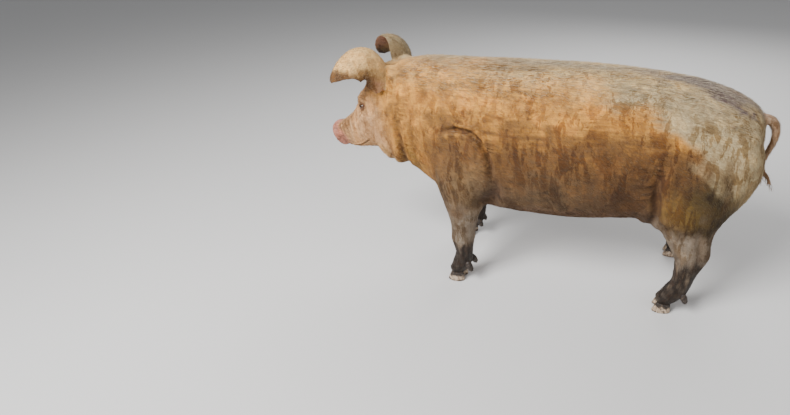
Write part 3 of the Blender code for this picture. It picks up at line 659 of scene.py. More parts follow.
def makeSkin():
    skin = fusedSkin()
    points, normals = meshPoints(skin.data), meshNormals(skin.data)
    share = evened(nearestKinds(points), meshEdges(skin.data), skinMaking["blendRounds"], 0.5)
    heights = foldHeights(points, normals) * (1.0 - part(share, "ear"))
    heights += bodyHeights(points, normals, share) + headHeights(points, share)
    heights *= 1.0 - np.clip(1.5 * (part(share, "claw") + part(share, "dewclaw")), 0.0, 1.0)
    thin = part(share, "ear") + part(share, "tail") > 0.5
    heights = np.where(thin, np.clip(heights, -0.0008, 0.0008), heights)
    points = carveEyes(points + normals * (heights - fromTable(share, flesh, "depth"))[:, None])
    points[:, 2] = np.maximum(points[:, 2], skinMaking["lowest"])
    setPoints(skin.data, points)
    skin.data.shade_smooth()
    print("skin carved")
    return skin, share


# Markings and painted light: dry ochre mud on the left flank, grey dust on the back and right, dark wet mud
# with painted shade on the legs, painted shade under the body and in its hollows, and a painted highlight on
# the thighs
tones = {
    "ochre": (196, 140, 62),
    "ochreMid": (113, 79, 41),
    "ochreLow": (96, 77, 55),
    "rust": (84, 56, 29),
    "olive": (62, 49, 25),
    "cream": (202, 172, 116),
    "greyBuff": (174, 156, 120),
    "dust": (156, 142, 116),
    "spine": (140, 132, 118),
    "plum": (98, 82, 83),
    "speck": (104, 92, 68),
    "clay": (146, 114, 80),
    # the belly's muddy tone, laid with painted shade over the undersides
    "belly": (118, 88, 66),
    # painted shade in folds and wrinkles, and mud on the snout
    "crease": (74, 52, 36),
    # this and the next tone: painted shade in the pits and on the elbows
    "armpit": (76, 60, 46),
    "elbow": (132, 108, 76),
    "legCream": (130, 117, 102),
    # wet mud, darkened further as painted shade
    "wetMud": (27, 18, 12),
    "drySplash": (70, 54, 41),
    "face": (202, 160, 116),
    "jowl": (142, 110, 48),
    "snout": (184, 124, 106),
    # painted shade inside the nostrils and along the mouth's slit
    "nostril": (46, 28, 26),
    "lid": (112, 76, 58),
    "earPale": (200, 164, 108),
    # earBrown and earDark: painted shade on the ears' lower rims
    "earBrown": (96, 66, 34),
    "earOlive": (132, 116, 86),
    "earDark": (58, 44, 38),
    "earInside": (198, 152, 128),
    "tailPink": (172, 142, 116),
    "teat": (184, 130, 108),
}
flankEdge = {  # the angle round the body, 0 level on the left and 90 at the top, where the ochre ends
    "x": (-0.50, -0.35, -0.10, 0.10, 0.25, 0.384, 0.469, 0.553, 0.65, 0.80),
    "angle": (102.0, 92.0, 85.0, 77.0, 64.0, 55.0, 44.0, 28.0, 8.0, -20.0),
}


def blend(colours, name, share):
    # a tone laid over the colours in place
    colours += (linear(*tones[name]) - colours) * np.clip(share, 0.0, 1.0)[:, None]


def foldShade(points, normals):
    # painted shade, with some mud, darkens the bottom of the deeper folds
    total = np.zeros(len(points))
    for width, depth, _, gap, fade in foldsAt(points, normals, 0.003):
        total = np.maximum(total, 0.75 * min(depth / 0.011, 1.0) * fade * hump(gap, 0.55 * width))
    return total


def hideColours(points, normals, share):
    rough = waves(points, 0.060, 21, 4)
    broad = waves(points, 0.180, 22)
    fine = waves(points, 0.018, 24, 2)
    streaky = waves(points * (1.0, 1.0, 0.22), 0.034, 23)
    x, y, z = points.T
    angle = np.degrees(np.arctan2(z - 0.60, -y))
    angle = np.where(angle < -90.0, angle + 360.0, angle)
    edge = np.interp(x, flankEdge["x"], flankEdge["angle"])
    level = z + 0.035 * streaky + 0.02 * broad
    leg = part(share, "leg")
    colours = np.tile(linear(*tones["greyBuff"]), (len(points), 1))
    pale = between(x, -0.30, 0.05, 0.40, 0.66) * rise(-np.abs(y), -0.15, -0.04)
    blend(colours, "cream", pale * 0.8)
    blend(colours, "dust", rise(angle, 115, 160) * (0.55 + 0.3 * rough))
    softness = 8.0 + 8.0 * rise(np.abs(x - 0.35), 0.0, 0.4)
    flank = rise(edge + 7.0 * rough + 4.0 * broad - angle, -softness, softness)
    flank *= 1.0 - 0.8 * rise(x, 0.70, 0.79)
    # the near flank: ochre above, darker and browner below, partly mud and partly painted shade, olive on
    # the ham, yellow on chest and thigh
    tan = np.tile(linear(*tones["ochre"]), (len(points), 1))
    blend(tan, "cream", rise(z + 0.02 * rough, 0.80, 0.89) * (0.35 + 0.25 * rise(x, -0.25, -0.05)))
    chest = 1.0 - 0.65 * rise(-x, 0.32, 0.42)
    # these three tones darken the flank towards the bottom: browner mud with painted shade in it
    blend(tan, "ochreMid", rise(0.785 - level, 0.0, 0.13) * chest)
    blend(tan, "ochreLow", rise(0.60 - level, 0.0, 0.14) * 0.9 * chest)
    blend(tan, "rust", rise(x, 0.05, 0.40) * rise(0.68 - level, 0.0, 0.18) * 0.85)
    blend(tan, "olive", rise(x, 0.44, 0.60) * rise(0.66 - level, -0.02, 0.14))
    # a painted highlight: lighter yellow on the bulge of the stifle
    blend(tan, "jowl", hump(np.hypot(x - 0.545, z - 0.455), 0.065) * 0.65)
    blend(tan, "jowl", rise(-x, 0.36, 0.46) * rise(0.64 - level, 0.0, 0.12) * 0.6)
    lumps = waves(points * (1.0, 1.0, 0.45), 0.042, 26, 2)
    crusted = rise(lumps + 0.3 * fine, 0.30, 0.85) * between(z, 0.58, 0.68, 0.86, 0.895)
    blend(tan, "rust", crusted * rise(-x, -0.26, 0.02) * 0.5)
    colours += (tan - colours) * flank[:, None]
    blend(colours, "ochreLow", rise(0.66 - level, 0.0, 0.22) * rise(angle, 150, 175) * 0.7)
    smear = np.hypot((x + 0.08) / 0.15, (angle - 79.0 + 3.0 * rough) / 4.5)
    blend(colours, "rust", rise(1.0 - smear + 0.3 * fine, 0.0, 0.3) * 0.6)
    # the back: a grey line, specks, and the plum and clay patches on the rump
    top = rise(normals[:, 2], 0.3, 0.8)
    strip = hump(y - 0.006, 0.024 + 0.008 * rough) * top * between(x, -0.26, -0.10, 0.30, 0.45)
    blend(colours, "spine", strip * 0.75)
    specks = rise(fine + 0.5 * rough, 0.35, 0.75) * top * rise(x, -0.25, 0.30) * (1.0 - 0.7 * flank)
    blend(colours, "speck", specks * (0.30 + 0.45 * rise(-y, -0.02, 0.10) * rise(x, 0.20, 0.45)))
    patch = np.hypot((x - 0.600) / 0.190, (y - 0.004) / (0.046 + 0.060 * rise(x, 0.42, 0.66)))
    blend(colours, "plum", rise(1.0 - patch + 0.30 * rough + 0.14 * fine, -0.10, 0.22) * top)
    small = np.hypot((x - 0.385) / 0.075, (y + 0.010) / 0.050)
    blend(colours, "plum", rise(1.0 - small + 0.45 * rough + 0.2 * fine, 0.0, 0.4) * top * 0.55)
    clay = np.hypot((x - 0.720) / 0.130, (y - 0.120) / 0.095)
    blend(colours, "clay", rise(1.0 - clay + 0.42 * rough + 0.2 * fine, -0.05, 0.75) * 0.8)
    # the belly, the pits behind the legs, the elbows and the folds: painted shade, with some mud
    # painted shade on the surfaces that face down and low on the body
    undersideShade = 0.5 * rise(-normals[:, 2], 0.35, 0.85) * rise(0.60 - z, 0.0, 0.1)
    undersideShade += 0.75 * rise(0.425 - level, 0.0, 0.12)
    blend(colours, "belly", undersideShade * (1.0 - leg * 0.7))
    place = asLeft(points)
    # painted shade on the elbows and in the pits behind the elbows and in front of the thighs
    pitShade = hump(gapTo(place, (-0.125, -0.200, 0.450)), 0.080)
    pitShade += hump(gapTo(place, (0.450, -0.170, 0.400)), 0.055)
    blend(colours, "elbow", hump(gapTo(place, (-0.215, -0.21, 0.500)), 0.095) * 0.7)
    blend(colours, "armpit", pitShade * 0.8)
    # painted shade in the folds
    blend(colours, "crease", foldShade(points, normals) * (1.0 - 0.5 * leg))
    # the legs: pale above, then splashes, then wet mud darkened further as painted shade
    legs = rise(0.43 - z + 0.03 * rough, 0.0, 0.10) * np.clip(leg * 1.5, 0.0, 1.0)
    blend(colours, "legCream", legs * (0.45 + 0.5 * rise(np.abs(y) - 0.15, -0.05, 0.02)))
    mudTop = np.where(place[:, 0] < stance["middle"], *stance["mudTop"]) + 0.026 * rough + 0.022 * streaky
    blend(colours, "drySplash", rise(mudTop + 0.045 - z, -0.030, 0.040) * (0.45 + 0.4 * fine))
    blend(colours, "wetMud", rise(mudTop - z, -0.016, 0.030) * (0.90 + 0.1 * fine))
    blend(colours, "drySplash", rise(fine + 0.4 * rough, 0.55, 0.9) * rise(mudTop - z, 0.0, 0.02) * 0.5)
    blend(colours, "teat", nearTeats(points))
    headColours(colours, points, normals, share, rough)
    return np.clip(colours, 0.002, 0.95)


def headColours(colours, points, normals, share, rough):
    x, y, z = points.T
    u, v, w = headPlaces(points)
    ears = rise(part(share, "ear"), 0.42, 0.62)
    inHead = rise(-x, 0.50, 0.58) * (1.0 - ears)
    blend(colours, "face", inHead * rise(u, 0.02, 0.16) * 0.85)
    blend(colours, "greyBuff", inHead * rise(y, -0.04, 0.08) * (0.55 + 0.3 * rough))
    blend(colours, "jowl", inHead * rise(0.60 - z + 0.03 * rough, 0.0, 0.10) * rise(-u, -0.24, -0.14) * 0.7)
    for name in sides:
        centre, look, nose, top = (np.array(value) for value in eyeFrame(name))
        away = points - centre
        ring = np.hypot(away @ nose, (away @ top) * 1.5)
        blend(colours, "lid", (1.0 - rise(ring, 0.013, 0.030)) * (away @ look > 0) * 0.85)
    blend(colours, "snout", inHead * rise(u + 0.006 * rough, 0.345, 0.376))
    muddy = rise(waves(points, 0.016, 25), 0.25, 0.75) * rise(u, 0.30, 0.37) * inHead
    blend(colours, "crease", muddy * (0.22 + 0.30 * rise(np.hypot(v, w), 0.030, 0.055)))
    # painted shade in the bottoms of the nose's wrinkles
    blend(colours, "crease", noseWrinkles(u, v, w) * inHead * 0.55)
    gap, along = mouthGap(u, v)
    # painted shade along the slit of the mouth
    blend(colours, "nostril", hump(gap, 0.0022) * rise(along, -0.05, 0.05) * inHead * 0.8)
    # painted shade inside the nostrils
    for ring in nostrilRings(v, w):
        hollow = (1.0 - rise(ring, 0.75, 1.06)) * rise(u, 0.37, 0.38)
        blend(colours, "nostril", hollow * rise(head["snoutFront"] - u, 0.001, 0.005))
    # painted shade on the lower outer rims of the ears, brown on the left ear and darker on the right
    rim = ears * rise(0.905 - z + 0.012 * rough, 0.0, 0.030) * rise(np.abs(y), 0.13, 0.18)
    left = y < 0
    blend(colours, "earPale", ears * left)
    blend(colours, "earOlive", ears * ~left)
    blend(colours, "earInside", ears * rise(-normals[:, 2], -0.1, 0.4) * (0.75 + 0.35 * rough))
    blend(colours, "earBrown", rim * left)
    blend(colours, "earDark", rim * ~left)
    blend(colours, "tailPink", part(share, "tail") * 0.9)


def dampness(points, share):
    # 0 where the mud and skin are dry, 1 where they are wet
    u = headPlaces(points)[0]
    wet = rise(0.225 - points[:, 2] + 0.02 * waves(points, 0.05, 31), 0.0, 0.05) * 0.75
    return np.clip(wet + 0.8 * part(share, "snout") * rise(u, 0.36, 0.38), 0.0, 1.0)


# Materials
def fill(tree, node, values):
    for key, value in values.items():
        if isinstance(value, bpy.types.NodeSocket):
            tree.links.new(value, node.inputs[key])
        else:
            node.inputs[key].default_value = value


def nodeIn(tree, kind, values=None, **settings):
    node = tree.nodes.new(kind)
    for key, value in settings.items():
        setattr(node, key, value)
    fill(tree, node, values or {})
    return node


def mathIn(tree, operation, first, second=0.0):
    return nodeIn(tree, "ShaderNodeMath", {0: first, 1: second}, operation=operation).outputs[0]


def noiseIn(tree, place, stretch, scale, detail=4.0, roughness=0.55, distortion=0.0, turn=(0.0, 0.0, 0.0)):
    moved = nodeIn(tree, "ShaderNodeMapping", {"Vector": place, "Scale": stretch, "Rotation": turn})
    values = {"Vector": moved.outputs[0], "Scale": scale, "Detail": detail, "Roughness": roughness,
              "Distortion": distortion}
    return nodeIn(tree, "ShaderNodeTexNoise", values).outputs[0]


def rangeIn(tree, value, low, high, start=0.0, end=1.0):
    values = {"Value": value, "From Min": low, "From Max": high, "To Min": start, "To Max": end}
    return nodeIn(tree, "ShaderNodeMapRange", values, interpolation_type="SMOOTHSTEP").outputs[0]


def mixIn(tree, share, first, second, kind="MIX"):
    node = nodeIn(tree, "ShaderNodeMix", {"Factor": share}, data_type="RGBA", blend_type=kind)
    for key, value in ((6, first), (7, second)):
        fill(tree, node, {key: value if isinstance(value, bpy.types.NodeSocket) else (*value, 1.0)})
    return node.outputs[2]


marks = {
    "dripStretch": (27.0, 27.0, 7.0),
    "smallDripStretch": (64.0, 64.0, 15.0),
    "dripTint": (0.52, 0.42, 0.29),
    "crustScale": 46.0,
    "poreScale": 300.0,
    "hairStretch": (26.0, 330.0, 330.0),
    "hairTurns": ((38.0, 0.12, 0.30), (90.0, 0.52, 0.74)),  # degrees, and the fall that brings them in
    "layers": (  # what tints the colour, from where to where, how much and with what
        ("blotches", 0.52, 0.58, 0.90, (1.26, 1.20, 1.10)),
        ("blotches", 0.47, 0.40, 0.70, (0.72, 0.64, 0.54)),
        ("crust", 0.56, 0.43, 0.50, (0.70, 0.62, 0.55)),
        ("hair", 0.60, 0.40, 0.42, (0.62, 0.55, 0.48)),
        ("hair", 0.56, 0.68, 0.35, (1.25, 1.22, 1.16)),
    ),
    "relief": {"hair": 0.8, "crust": 0.9, "pores": 0.25, "drips": 0.35},
}


def markGroup():
    # drips, blotches, crusts and the lie of the hair over a colour that is carried by the surface
    group = bpy.data.node_groups.new("mudMarks", "ShaderNodeTree")
    for way, names in (("INPUT", ("Colour", "Damp", "Fall")), ("OUTPUT", ("Colour", "Height", "Rough"))):
        for name in names:
            kind = "NodeSocketColor" if name == "Colour" else "NodeSocketFloat"
            group.interface.new_socket(name, in_out=way, socket_type=kind)
    colour, damp, fall = nodeIn(group, "NodeGroupInput").outputs[:3]
    place = nodeIn(group, "ShaderNodeTexCoord").outputs["Object"]
    normal = nodeIn(group, "ShaderNodeNewGeometry").outputs["Normal"]
    beside = mathIn(group, "ABSOLUTE", nodeIn(group, "ShaderNodeSeparateXYZ", {0: normal}).outputs[1])
    drips = rangeIn(group, noiseIn(group, place, marks["dripStretch"], 1.0, 5.0, 0.60, 0.7), 0.525, 0.556)
    small = noiseIn(group, place, marks["smallDripStretch"], 1.0, 4.0, 0.60, 0.5)
    drips = mathIn(group, "MAXIMUM", drips, rangeIn(group, small, 0.565, 0.595, 0.0, 0.8))
    area = rangeIn(group, noiseIn(group, place, (1.0, 1.0, 1.0), 5.5, 3.0), 0.42, 0.54, 0.45, 1.0)
    area = mathIn(group, "MULTIPLY", area, rangeIn(group, beside, 0.06, 0.30))
    hair = noiseIn(group, place, marks["hairStretch"], 1.0, 4.0, 0.6)
    for turn, low, high in marks["hairTurns"]:
        turn = (0.0, math.radians(turn), 0.0)
        turned = noiseIn(group, place, marks["hairStretch"], 1.0, 4.0, 0.6, turn=turn)
        values = {"Factor": rangeIn(group, fall, low, high), 2: hair, 3: turned}
        hair = nodeIn(group, "ShaderNodeMix", values, data_type="FLOAT").outputs[0]
    pores = {"Vector": place, "Scale": marks["poreScale"]}
    found = {
        "drips": mathIn(group, "MULTIPLY", drips, area),
        "blotches": noiseIn(group, place, (1.0, 1.0, 0.7), 13.0, 7.0, 0.64, 0.3),
        "crust": noiseIn(group, place, (1.0, 1.0, 1.0), marks["crustScale"], 8.0, 0.72),
        "hair": hair,
        "pores": nodeIn(group, "ShaderNodeTexVoronoi", pores).outputs[0],
    }
    dripping = mathIn(group, "MULTIPLY", found["drips"], 0.90)
    colour = mixIn(group, dripping, colour, marks["dripTint"], "MULTIPLY")
    for name, low, high, most, tint in marks["layers"]:
        colour = mixIn(group, rangeIn(group, found[name], low, high, 0.0, most), colour, tint, "MULTIPLY")
    height = 0.0
    for name, most in marks["relief"].items():
        height = mathIn(group, "ADD", height, mathIn(group, "MULTIPLY", found[name], most))
    rough = rangeIn(group, found["crust"], 0.35, 0.65, -0.10, 0.10)
    rough = mathIn(group, "ADD", rangeIn(group, damp, 0.0, 1.0, 0.86, 0.50), rough)
    nodeIn(group, "NodeGroupOutput", {0: colour, 1: height, 2: rough})
    return group


def newMaterial(name):
    material = bpy.data.materials.new(name)
    material.use_nodes = True
    return material, material.node_tree, material.node_tree.nodes["Principled BSDF"]


def carried(tree, name, output="Color"):
    return nodeIn(tree, "ShaderNodeAttribute", attribute_name=name).outputs[output]


def markedMaterial(name, group):
    # a material that gives the group what the surface carries
    material, tree, shader = newMaterial(name)
    values = {0: carried(tree, "hide"), 1: carried(tree, "damp", "Fac"), 2: carried(tree, "fall", "Fac")}
    return material, tree, shader, nodeIn(tree, "ShaderNodeGroup", values, node_tree=group).outputs


def hideMaterial(group):
    material, tree, shader, marked = markedMaterial("muddyHide", group)
    bump = nodeIn(tree, "ShaderNodeBump", {"Strength": 0.75, "Distance": 0.0022, "Height": marked[1]})
    fill(tree, shader, {"Base Color": marked[0], "Roughness": marked[2], "Normal": bump.outputs[0],
                        "Specular IOR Level": 0.32})
    return material


def bristleMaterial(group):
    # bristles are paler than the skin towards their tips, and muddy near the skin
    material, tree, shader, marked = markedMaterial("paleBristle", group)
    tip = carried(tree, "tip", "Fac")
    dry = mixIn(tree, mathIn(tree, "MULTIPLY", tip, 0.30), marked[0], (1.35, 1.26, 1.10), "MULTIPLY")
    pale = mixIn(tree, mathIn(tree, "MULTIPLY", tip, carried(tree, "tone", "Fac")), dry, (0.66, 0.55, 0.38))
    fill(tree, shader, {"Base Color": pale, "Roughness": 0.62, "Specular IOR Level": 0.30})
    return material


def carryValues(mesh, colours, **numbers):
    hide = mesh.color_attributes.new(name="hide", type="FLOAT_COLOR", domain="POINT")
    colours = np.column_stack([colours, np.ones(len(colours))])
    hide.data.foreach_set("color", colours.astype(np.float32).ravel())
    for name, values in numbers.items():
        mesh.attributes.new(name, "FLOAT", "POINT").data.foreach_set("value", values.astype(np.float32))


# Coat: thin tufts of bristles that lie along the body
coat = {
    "seed": 41,
    "torso": {"amount": 21000, "length": 0.027, "width": 0.0014, "height": 0.0028},
    "neck": {"amount": 24000, "length": 0.026, "width": 0.0014, "height": 0.0028},
    "head": {"amount": 34000, "length": 0.013, "width": 0.0009, "height": 0.0013},
    "snout": {"amount": 5000, "length": 0.006, "width": 0.0005, "height": 0.0020},
    "ear": {"amount": 30000, "length": 0.013, "width": 0.0008, "height": 0.0012},
    "leg": {"amount": 32000, "length": 0.014, "width": 0.0010, "height": 0.0016},
    "tail": {"amount": 30000, "length": 0.024, "width": 0.0009, "height": 0.0026},
    "claw": {"amount": 0, "length": 0.010, "width": 0.0008, "height": 0.0010},
    "dewclaw": {"amount": 0, "length": 0.010, "width": 0.0008, "height": 0.0010},
    "whiskers": {"share": 0.035, "length": 0.034, "height": 0.016},
    "lashes": {"count": 46, "length": 0.013, "width": 0.0005, "spread": 0.95, "tone": 0.8},
    "eyeBare": 0.017,
    "lipBare": 0.0062,
    "foldBare": 0.008,  # bristles are fewer and shorter beside folds that are deeper than this
    "foldReach": 0.022,
    "sunk": 0.0009,
}
tuftLevels = ((0.0, 1.0), (0.38, 0.86), (0.74, 0.52))
tuftCorners = 3
patchSize = 0.003


def lieOfCoat(points, normals, share):
    # the way that the hair points at each place, laid flat on the skin
    x, y, z = points.T
    one, side, beside = np.ones(len(x)), np.sign(y), np.abs(normals[:, 1])
    trunk = np.stack([one, 0.16 * side * (1.0 - beside), -0.62 * rise(beside, 0.3, 0.9)], 1)
    lean = (rise(x, 0.55, 0.78) * rise(0.78 - z, 0.0, 0.12))[:, None]
    trunk = trunk * (1.0 - lean) + np.array((0.45, 0.0, -1.0)) * lean
    face = np.stack([math.cos(head["pitch"]) * one, 0.20 * side, 0.30 - 0.9 * rise(0.66 - z, 0.0, 0.10)], 1)
    ear = np.stack([-0.75 * one, 0.55 * side, -0.25 * one], 1)
    leg, tail = np.array((0.28, 0.0, -1.0)), np.array((0.2, 0.0, -1.0))
    ways = {"torso": trunk, "neck": trunk, "head": face, "snout": face, "ear": ear, "tail": tail}
    lie = sum(share[:, k : k + 1] * ways.get(kind, leg) for k, kind in enumerate(kinds))
    lie = lie + 0.13 * waves(points, 0.07, 51)[:, None] * np.cross(normals, lie)
    return toUnit(lie - normals * (lie * normals).sum(1, keepdims=True))


def rootsOn(mesh, weight, draw):
    # random places on the skin: the triangle of each and its three weights
    corners = meshTriangles(mesh)
    points = meshPoints(mesh)
    first, second, third = (points[corners[:, k]] for k in range(3))
    area = 0.5 * np.linalg.norm(np.cross(second - first, third - first), axis=1)
    wanted = area * weight[corners].mean(axis=1)
    count = np.floor(wanted + draw.random(len(wanted))).astype(int)
    face = np.repeat(np.arange(len(corners)), count)
    a, b = draw.random((2, len(face)))
    over = a + b > 1.0
    a[over], b[over] = 1.0 - a[over], 1.0 - b[over]
    return face, corners[face], np.stack([1.0 - a - b, a, b], 1)


def laid(values, corners, parts):
    return (values[corners] * parts[:, :, None]).sum(axis=1)


def bristleMesh(name, tufts):
    # one bent, tapering blade of three sides for each tuft, all in one mesh
    roots, middles, tips, ups = (tufts[key] for key in ("root", "middle", "tip", "up"))
    across = toUnit(np.cross(toUnit(tips - roots), ups))
    rows, shares, spots = [], [], []
    for place, thick in tuftLevels:
        centre = (1 - place) ** 2 * roots + 2 * place * (1 - place) * middles + place**2 * tips
        for k in range(tuftCorners):
            angle = 2.0 * math.pi * k / tuftCorners
            offset = across * math.cos(angle) + ups * (0.55 * math.sin(angle))
            rows.append(centre + offset * (0.5 * thick * tufts["width"])[:, None])
            shares.append(place)
            spots.append((0.5 * math.cos(angle), place - 0.5))
    points = np.stack([*rows, tips], axis=1).reshape(-1, 3)
    faces = [(2, 1, 0)]
    for start in range(0, len(rows), tuftCorners):
        for k in range(tuftCorners):
            a, b = start + k, start + (k + 1) % tuftCorners
            if start + tuftCorners < len(rows):
                faces += [(a, b, b + tuftCorners), (a, b + tuftCorners, a + tuftCorners)]
            else:
                faces.append((a, b, len(rows)))
    count, size = len(roots), len(rows) + 1
    corners = (np.array(faces)[None] + size * np.arange(count)[:, None, None]).reshape(-1, 3)
    mesh = bpy.data.meshes.new(name)
    mesh.vertices.add(len(points))
    mesh.loops.add(corners.size)
    mesh.polygons.add(len(corners))
    mesh.vertices.foreach_set("co", points.astype(np.float32).ravel())
    mesh.loops.foreach_set("vertex_index", corners.astype(np.int32).ravel())
    mesh.polygons.foreach_set("loop_start", np.arange(0, corners.size, 3, dtype=np.int32))
    mesh.update(calc_edges=True)
    mesh.shade_smooth()
    numbers = {key: np.repeat(tufts[key], size) for key in ("damp", "fall", "tone")}
    numbers["tip"] = np.tile([*shares, 1.0], count)
    carryValues(mesh, np.repeat(tufts["colour"], size, axis=0), **numbers)
    spread = patchSize * np.array([*spots, (0.0, 0.5)])
    places = (tufts["patch"][:, None, :] + spread[None]).reshape(-1, 2)[corners.ravel()]
    mesh.uv_layers.new(name="OFBake").uv.foreach_set("vector", places.astype(np.float32).ravel())
    return mesh


def unwrapSkin(skin):
    # the skin laid flat in the square, for the coat's patches and its own
    bpy.ops.object.select_all(action="DESELECT")
    skin.select_set(True)
    bpy.context.view_layer.objects.active = skin
    skin.data.uv_layers.new(name="OFBake")
    bpy.ops.object.mode_set(mode="EDIT")
    bpy.ops.mesh.select_all(action="SELECT")
    bpy.ops.uv.smart_project(angle_limit=math.radians(66.0), island_margin=0.002)
    bpy.ops.object.mode_set(mode="OBJECT")
    print("skin laid flat")
    return valuesOf(skin.data.uv_layers["OFBake"].uv, "vector", 2).reshape(-1, 3, 2)


def coatPieces(points):
    # which piece of the coat each root belongs to
    x, y, z = points.T
    names = np.full(len(x), "coat_flank_left", dtype=object)
    names[y > 0] = "coat_flank_right"
    names[(np.abs(y) < 0.105) & (z > 0.6)] = "coat_back"
    names[(z < 0.42) & (np.abs(y) < 0.14)] = "coat_belly"
    names[x > 0.53] = "coat_rump"
    names[(x < -0.33) & (z > 0.35)] = "coat_neck"
    names[x < -0.505] = "coat_head"
    names[(z < 0.40) & (np.abs(y) >= 0.12) & (x < 0.1)] = "coat_legs_front"
    names[(z < 0.42) & (np.abs(y) >= 0.10) & (x > 0.44)] = "coat_legs_hind"
    names[(x < -0.505) & (z > 0.800)] = "coat_ears"
    names[x > 0.815] = "coat_tail"
    return names


def fallOf(lie):
    # 0 where the hair runs along the body, 1 where it hangs straight down
    return np.clip(np.degrees(np.arctan2(-lie[:, 2], np.hypot(lie[:, 0], lie[:, 1]))) / 90.0, 0.0, 1.0)


def lashes(draw):
    # pale lashes along the upper lids
    rows = []
    sizes = coat["lashes"]
    for name in sides:
        centre, look, nose, top = (np.array(value) for value in eyeFrame(name))
        for turn in np.linspace(-sizes["spread"], sizes["spread"], sizes["count"]):
            way = look + nose * (0.80 * math.sin(turn)) + top * (0.62 * math.cos(turn) + 0.10)
            way /= np.linalg.norm(way)
            root = centre + way * (eye["radius"] + 0.0022)
            reach = way - top * 0.25 + nose * draw.normal(0.25 * math.sin(turn), 0.10)
            reach /= np.linalg.norm(reach)
            tip = root + reach * sizes["length"] * draw.uniform(0.7, 1.15)
            rows.append((root, 0.5 * (root + tip) + top * 0.0016, tip, way))
    return dict(zip(("root", "middle", "tip", "up"), (np.array(column) for column in zip(*rows))))


def makeCoat(skin, share, colours, damp, fall, layout, material):
    draw = np.random.default_rng(coat["seed"])
    mesh = skin.data
    points, normals = meshPoints(mesh), meshNormals(mesh)
    x, y, z = points.T
    u, v, w = headPlaces(points)
    gap, along = mouthGap(u, v)
    bare = (np.abs(gap) < coat["lipBare"]) & (along > -0.04) & (np.abs(w) < 0.11)
    bare |= nearEyes(points, coat["eyeBare"]) | (u > 0.396) | (z < 0.040) | (nearTeats(points) > 0.5)
    amount = fromTable(share, coat, "amount") * ~bare
    for width, _, _, gap, fade in foldsAt(points, normals, coat["foldBare"]):
        amount *= 1.0 - fade * hump(gap, 1.3 * width)
    amount *= 1.0 + 0.5 * hump(y, 0.05) * rise(normals[:, 2], 0.5, 0.9) * rise(x, -0.50, -0.30)
    face, corners, parts = rootsOn(mesh, amount, draw)
    roots, near = laid(points, corners, parts), laid(share, corners, parts)
    ups = toUnit(laid(normals, corners, parts))
    count = len(roots)
    x, y, z = roots.T
    u, v, w = headPlaces(roots)
    # sizes: longer along the spine and at the tail's end, shorter beside folds and where mud is caked on
    crest = hump(y, 0.055) * rise(ups[:, 2], 0.5, 0.9) * rise(x, -0.52, -0.35)
    length = fromTable(near, coat, "length") * draw.uniform(0.65, 1.25, count)
    length *= 1.0 + crest * (0.55 + 0.35 * rise(x, 0.35, 0.55))
    height = fromTable(near, coat, "height") * draw.uniform(0.3, 1.6, count) * (1.0 + 0.9 * crest)
    width = fromTable(near, coat, "width") * draw.uniform(0.7, 1.35, count)
    for _, _, _, gap, fade in foldsAt(roots, ups, coat["foldBare"]):
        length *= 1.0 - 0.7 * fade * hump(gap, coat["foldReach"])
    sizes = coat["whiskers"]
    whisker = (u > 0.20) & (u < 0.39) & (v < 0.0) & (draw.random(count) < sizes["share"])
    whisker |= (u > 0.02) & (u < 0.20) & (v < -0.06) & (draw.random(count) < 0.4 * sizes["share"])
    length = np.where(whisker, sizes["length"] * draw.uniform(0.7, 1.2, count), length)
    height = np.where(whisker, sizes["height"] * draw.uniform(0.6, 1.2, count), height)
    fuzzy = (part(near, "ear") > 0.6) & (draw.random(count) < 0.16)
    height *= np.where(fuzzy, 4.5, 1.0)
    tailEnd = rise(x, 0.80, 0.82) * rise(0.60 - z, 0.0, 0.08)
    caked = rise(-y, 0.02, 0.10) * rise(0.75 - ups[:, 2], 0.0, 0.4) * rise(x, -0.52, -0.48)
    length *= (1.0 + 1.2 * tailEnd) * (1.0 - 0.30 * caked)
    height *= (1.0 + 1.6 * tailEnd) * (1.0 - 0.60 * caked)
    # the tips lie over the skin, wherever the hair leads
    lie = lieOfCoat(roots, ups, near)
    lie = toUnit(lie + 0.11 * draw.normal(size=(count, 1)) * np.cross(ups, lie))
    tree = BVHTree.FromPolygons(points.tolist(), meshTriangles(mesh).tolist())
    tips = np.empty_like(roots)
    for k, place in enumerate((roots + lie * length[:, None]).tolist()):
        found, normal, _, _ = tree.find_nearest(place)
        tips[k] = found + normal * height[k]
    middles = 0.5 * (roots + tips) + ups * (0.55 * height + 0.0008)[:, None]
    roots -= ups * coat["sunk"]
    wet = laid(damp[:, None], corners, parts)[:, 0]
    dusty = 0.14 + 0.54 * np.maximum(rise(ups[:, 2], 0.45, 0.95), rise(y, -0.05, 0.10))
    dusty = np.where(x < -0.50, 0.36, dusty)
    tufts = {
        "root": roots, "middle": middles, "tip": tips, "up": ups, "width": width, "damp": wet,
        "colour": laid(colours, corners, parts),
        "fall": laid(fall[:, None], corners, parts)[:, 0],
        "tone": np.clip(draw.normal(1.0, 0.35, count) * dusty * (1.0 - 1.3 * wet), 0.0, 0.95),
        "patch": (layout[face] * parts[:, :, None]).sum(axis=1),
    }
    more = lashes(draw)
    dry = np.zeros(len(more["root"]))
    nearest = [tree.find_nearest(place)[2] for place in more["root"].tolist()]
    more.update(damp=dry, fall=dry, width=dry + coat["lashes"]["width"], tone=dry + coat["lashes"]["tone"],
                colour=dry[:, None] + linear(*tones["cream"]), patch=layout[nearest].mean(axis=1))
    tufts = {key: np.concatenate([values, more[key]]) for key, values in tufts.items()}
    tufts["patch"] = patchSize + tufts["patch"] * (1.0 - 2.0 * patchSize)
    names = coatPieces(tufts["root"])
    for name in sorted(set(names)):
        own = {key: values[names == name] for key, values in tufts.items()}
        piece = newObject(name, bristleMesh(name, own))
        piece.data.materials.append(material)
        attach(piece, "root")
        print(name, len(piece.data.polygons), "triangles")


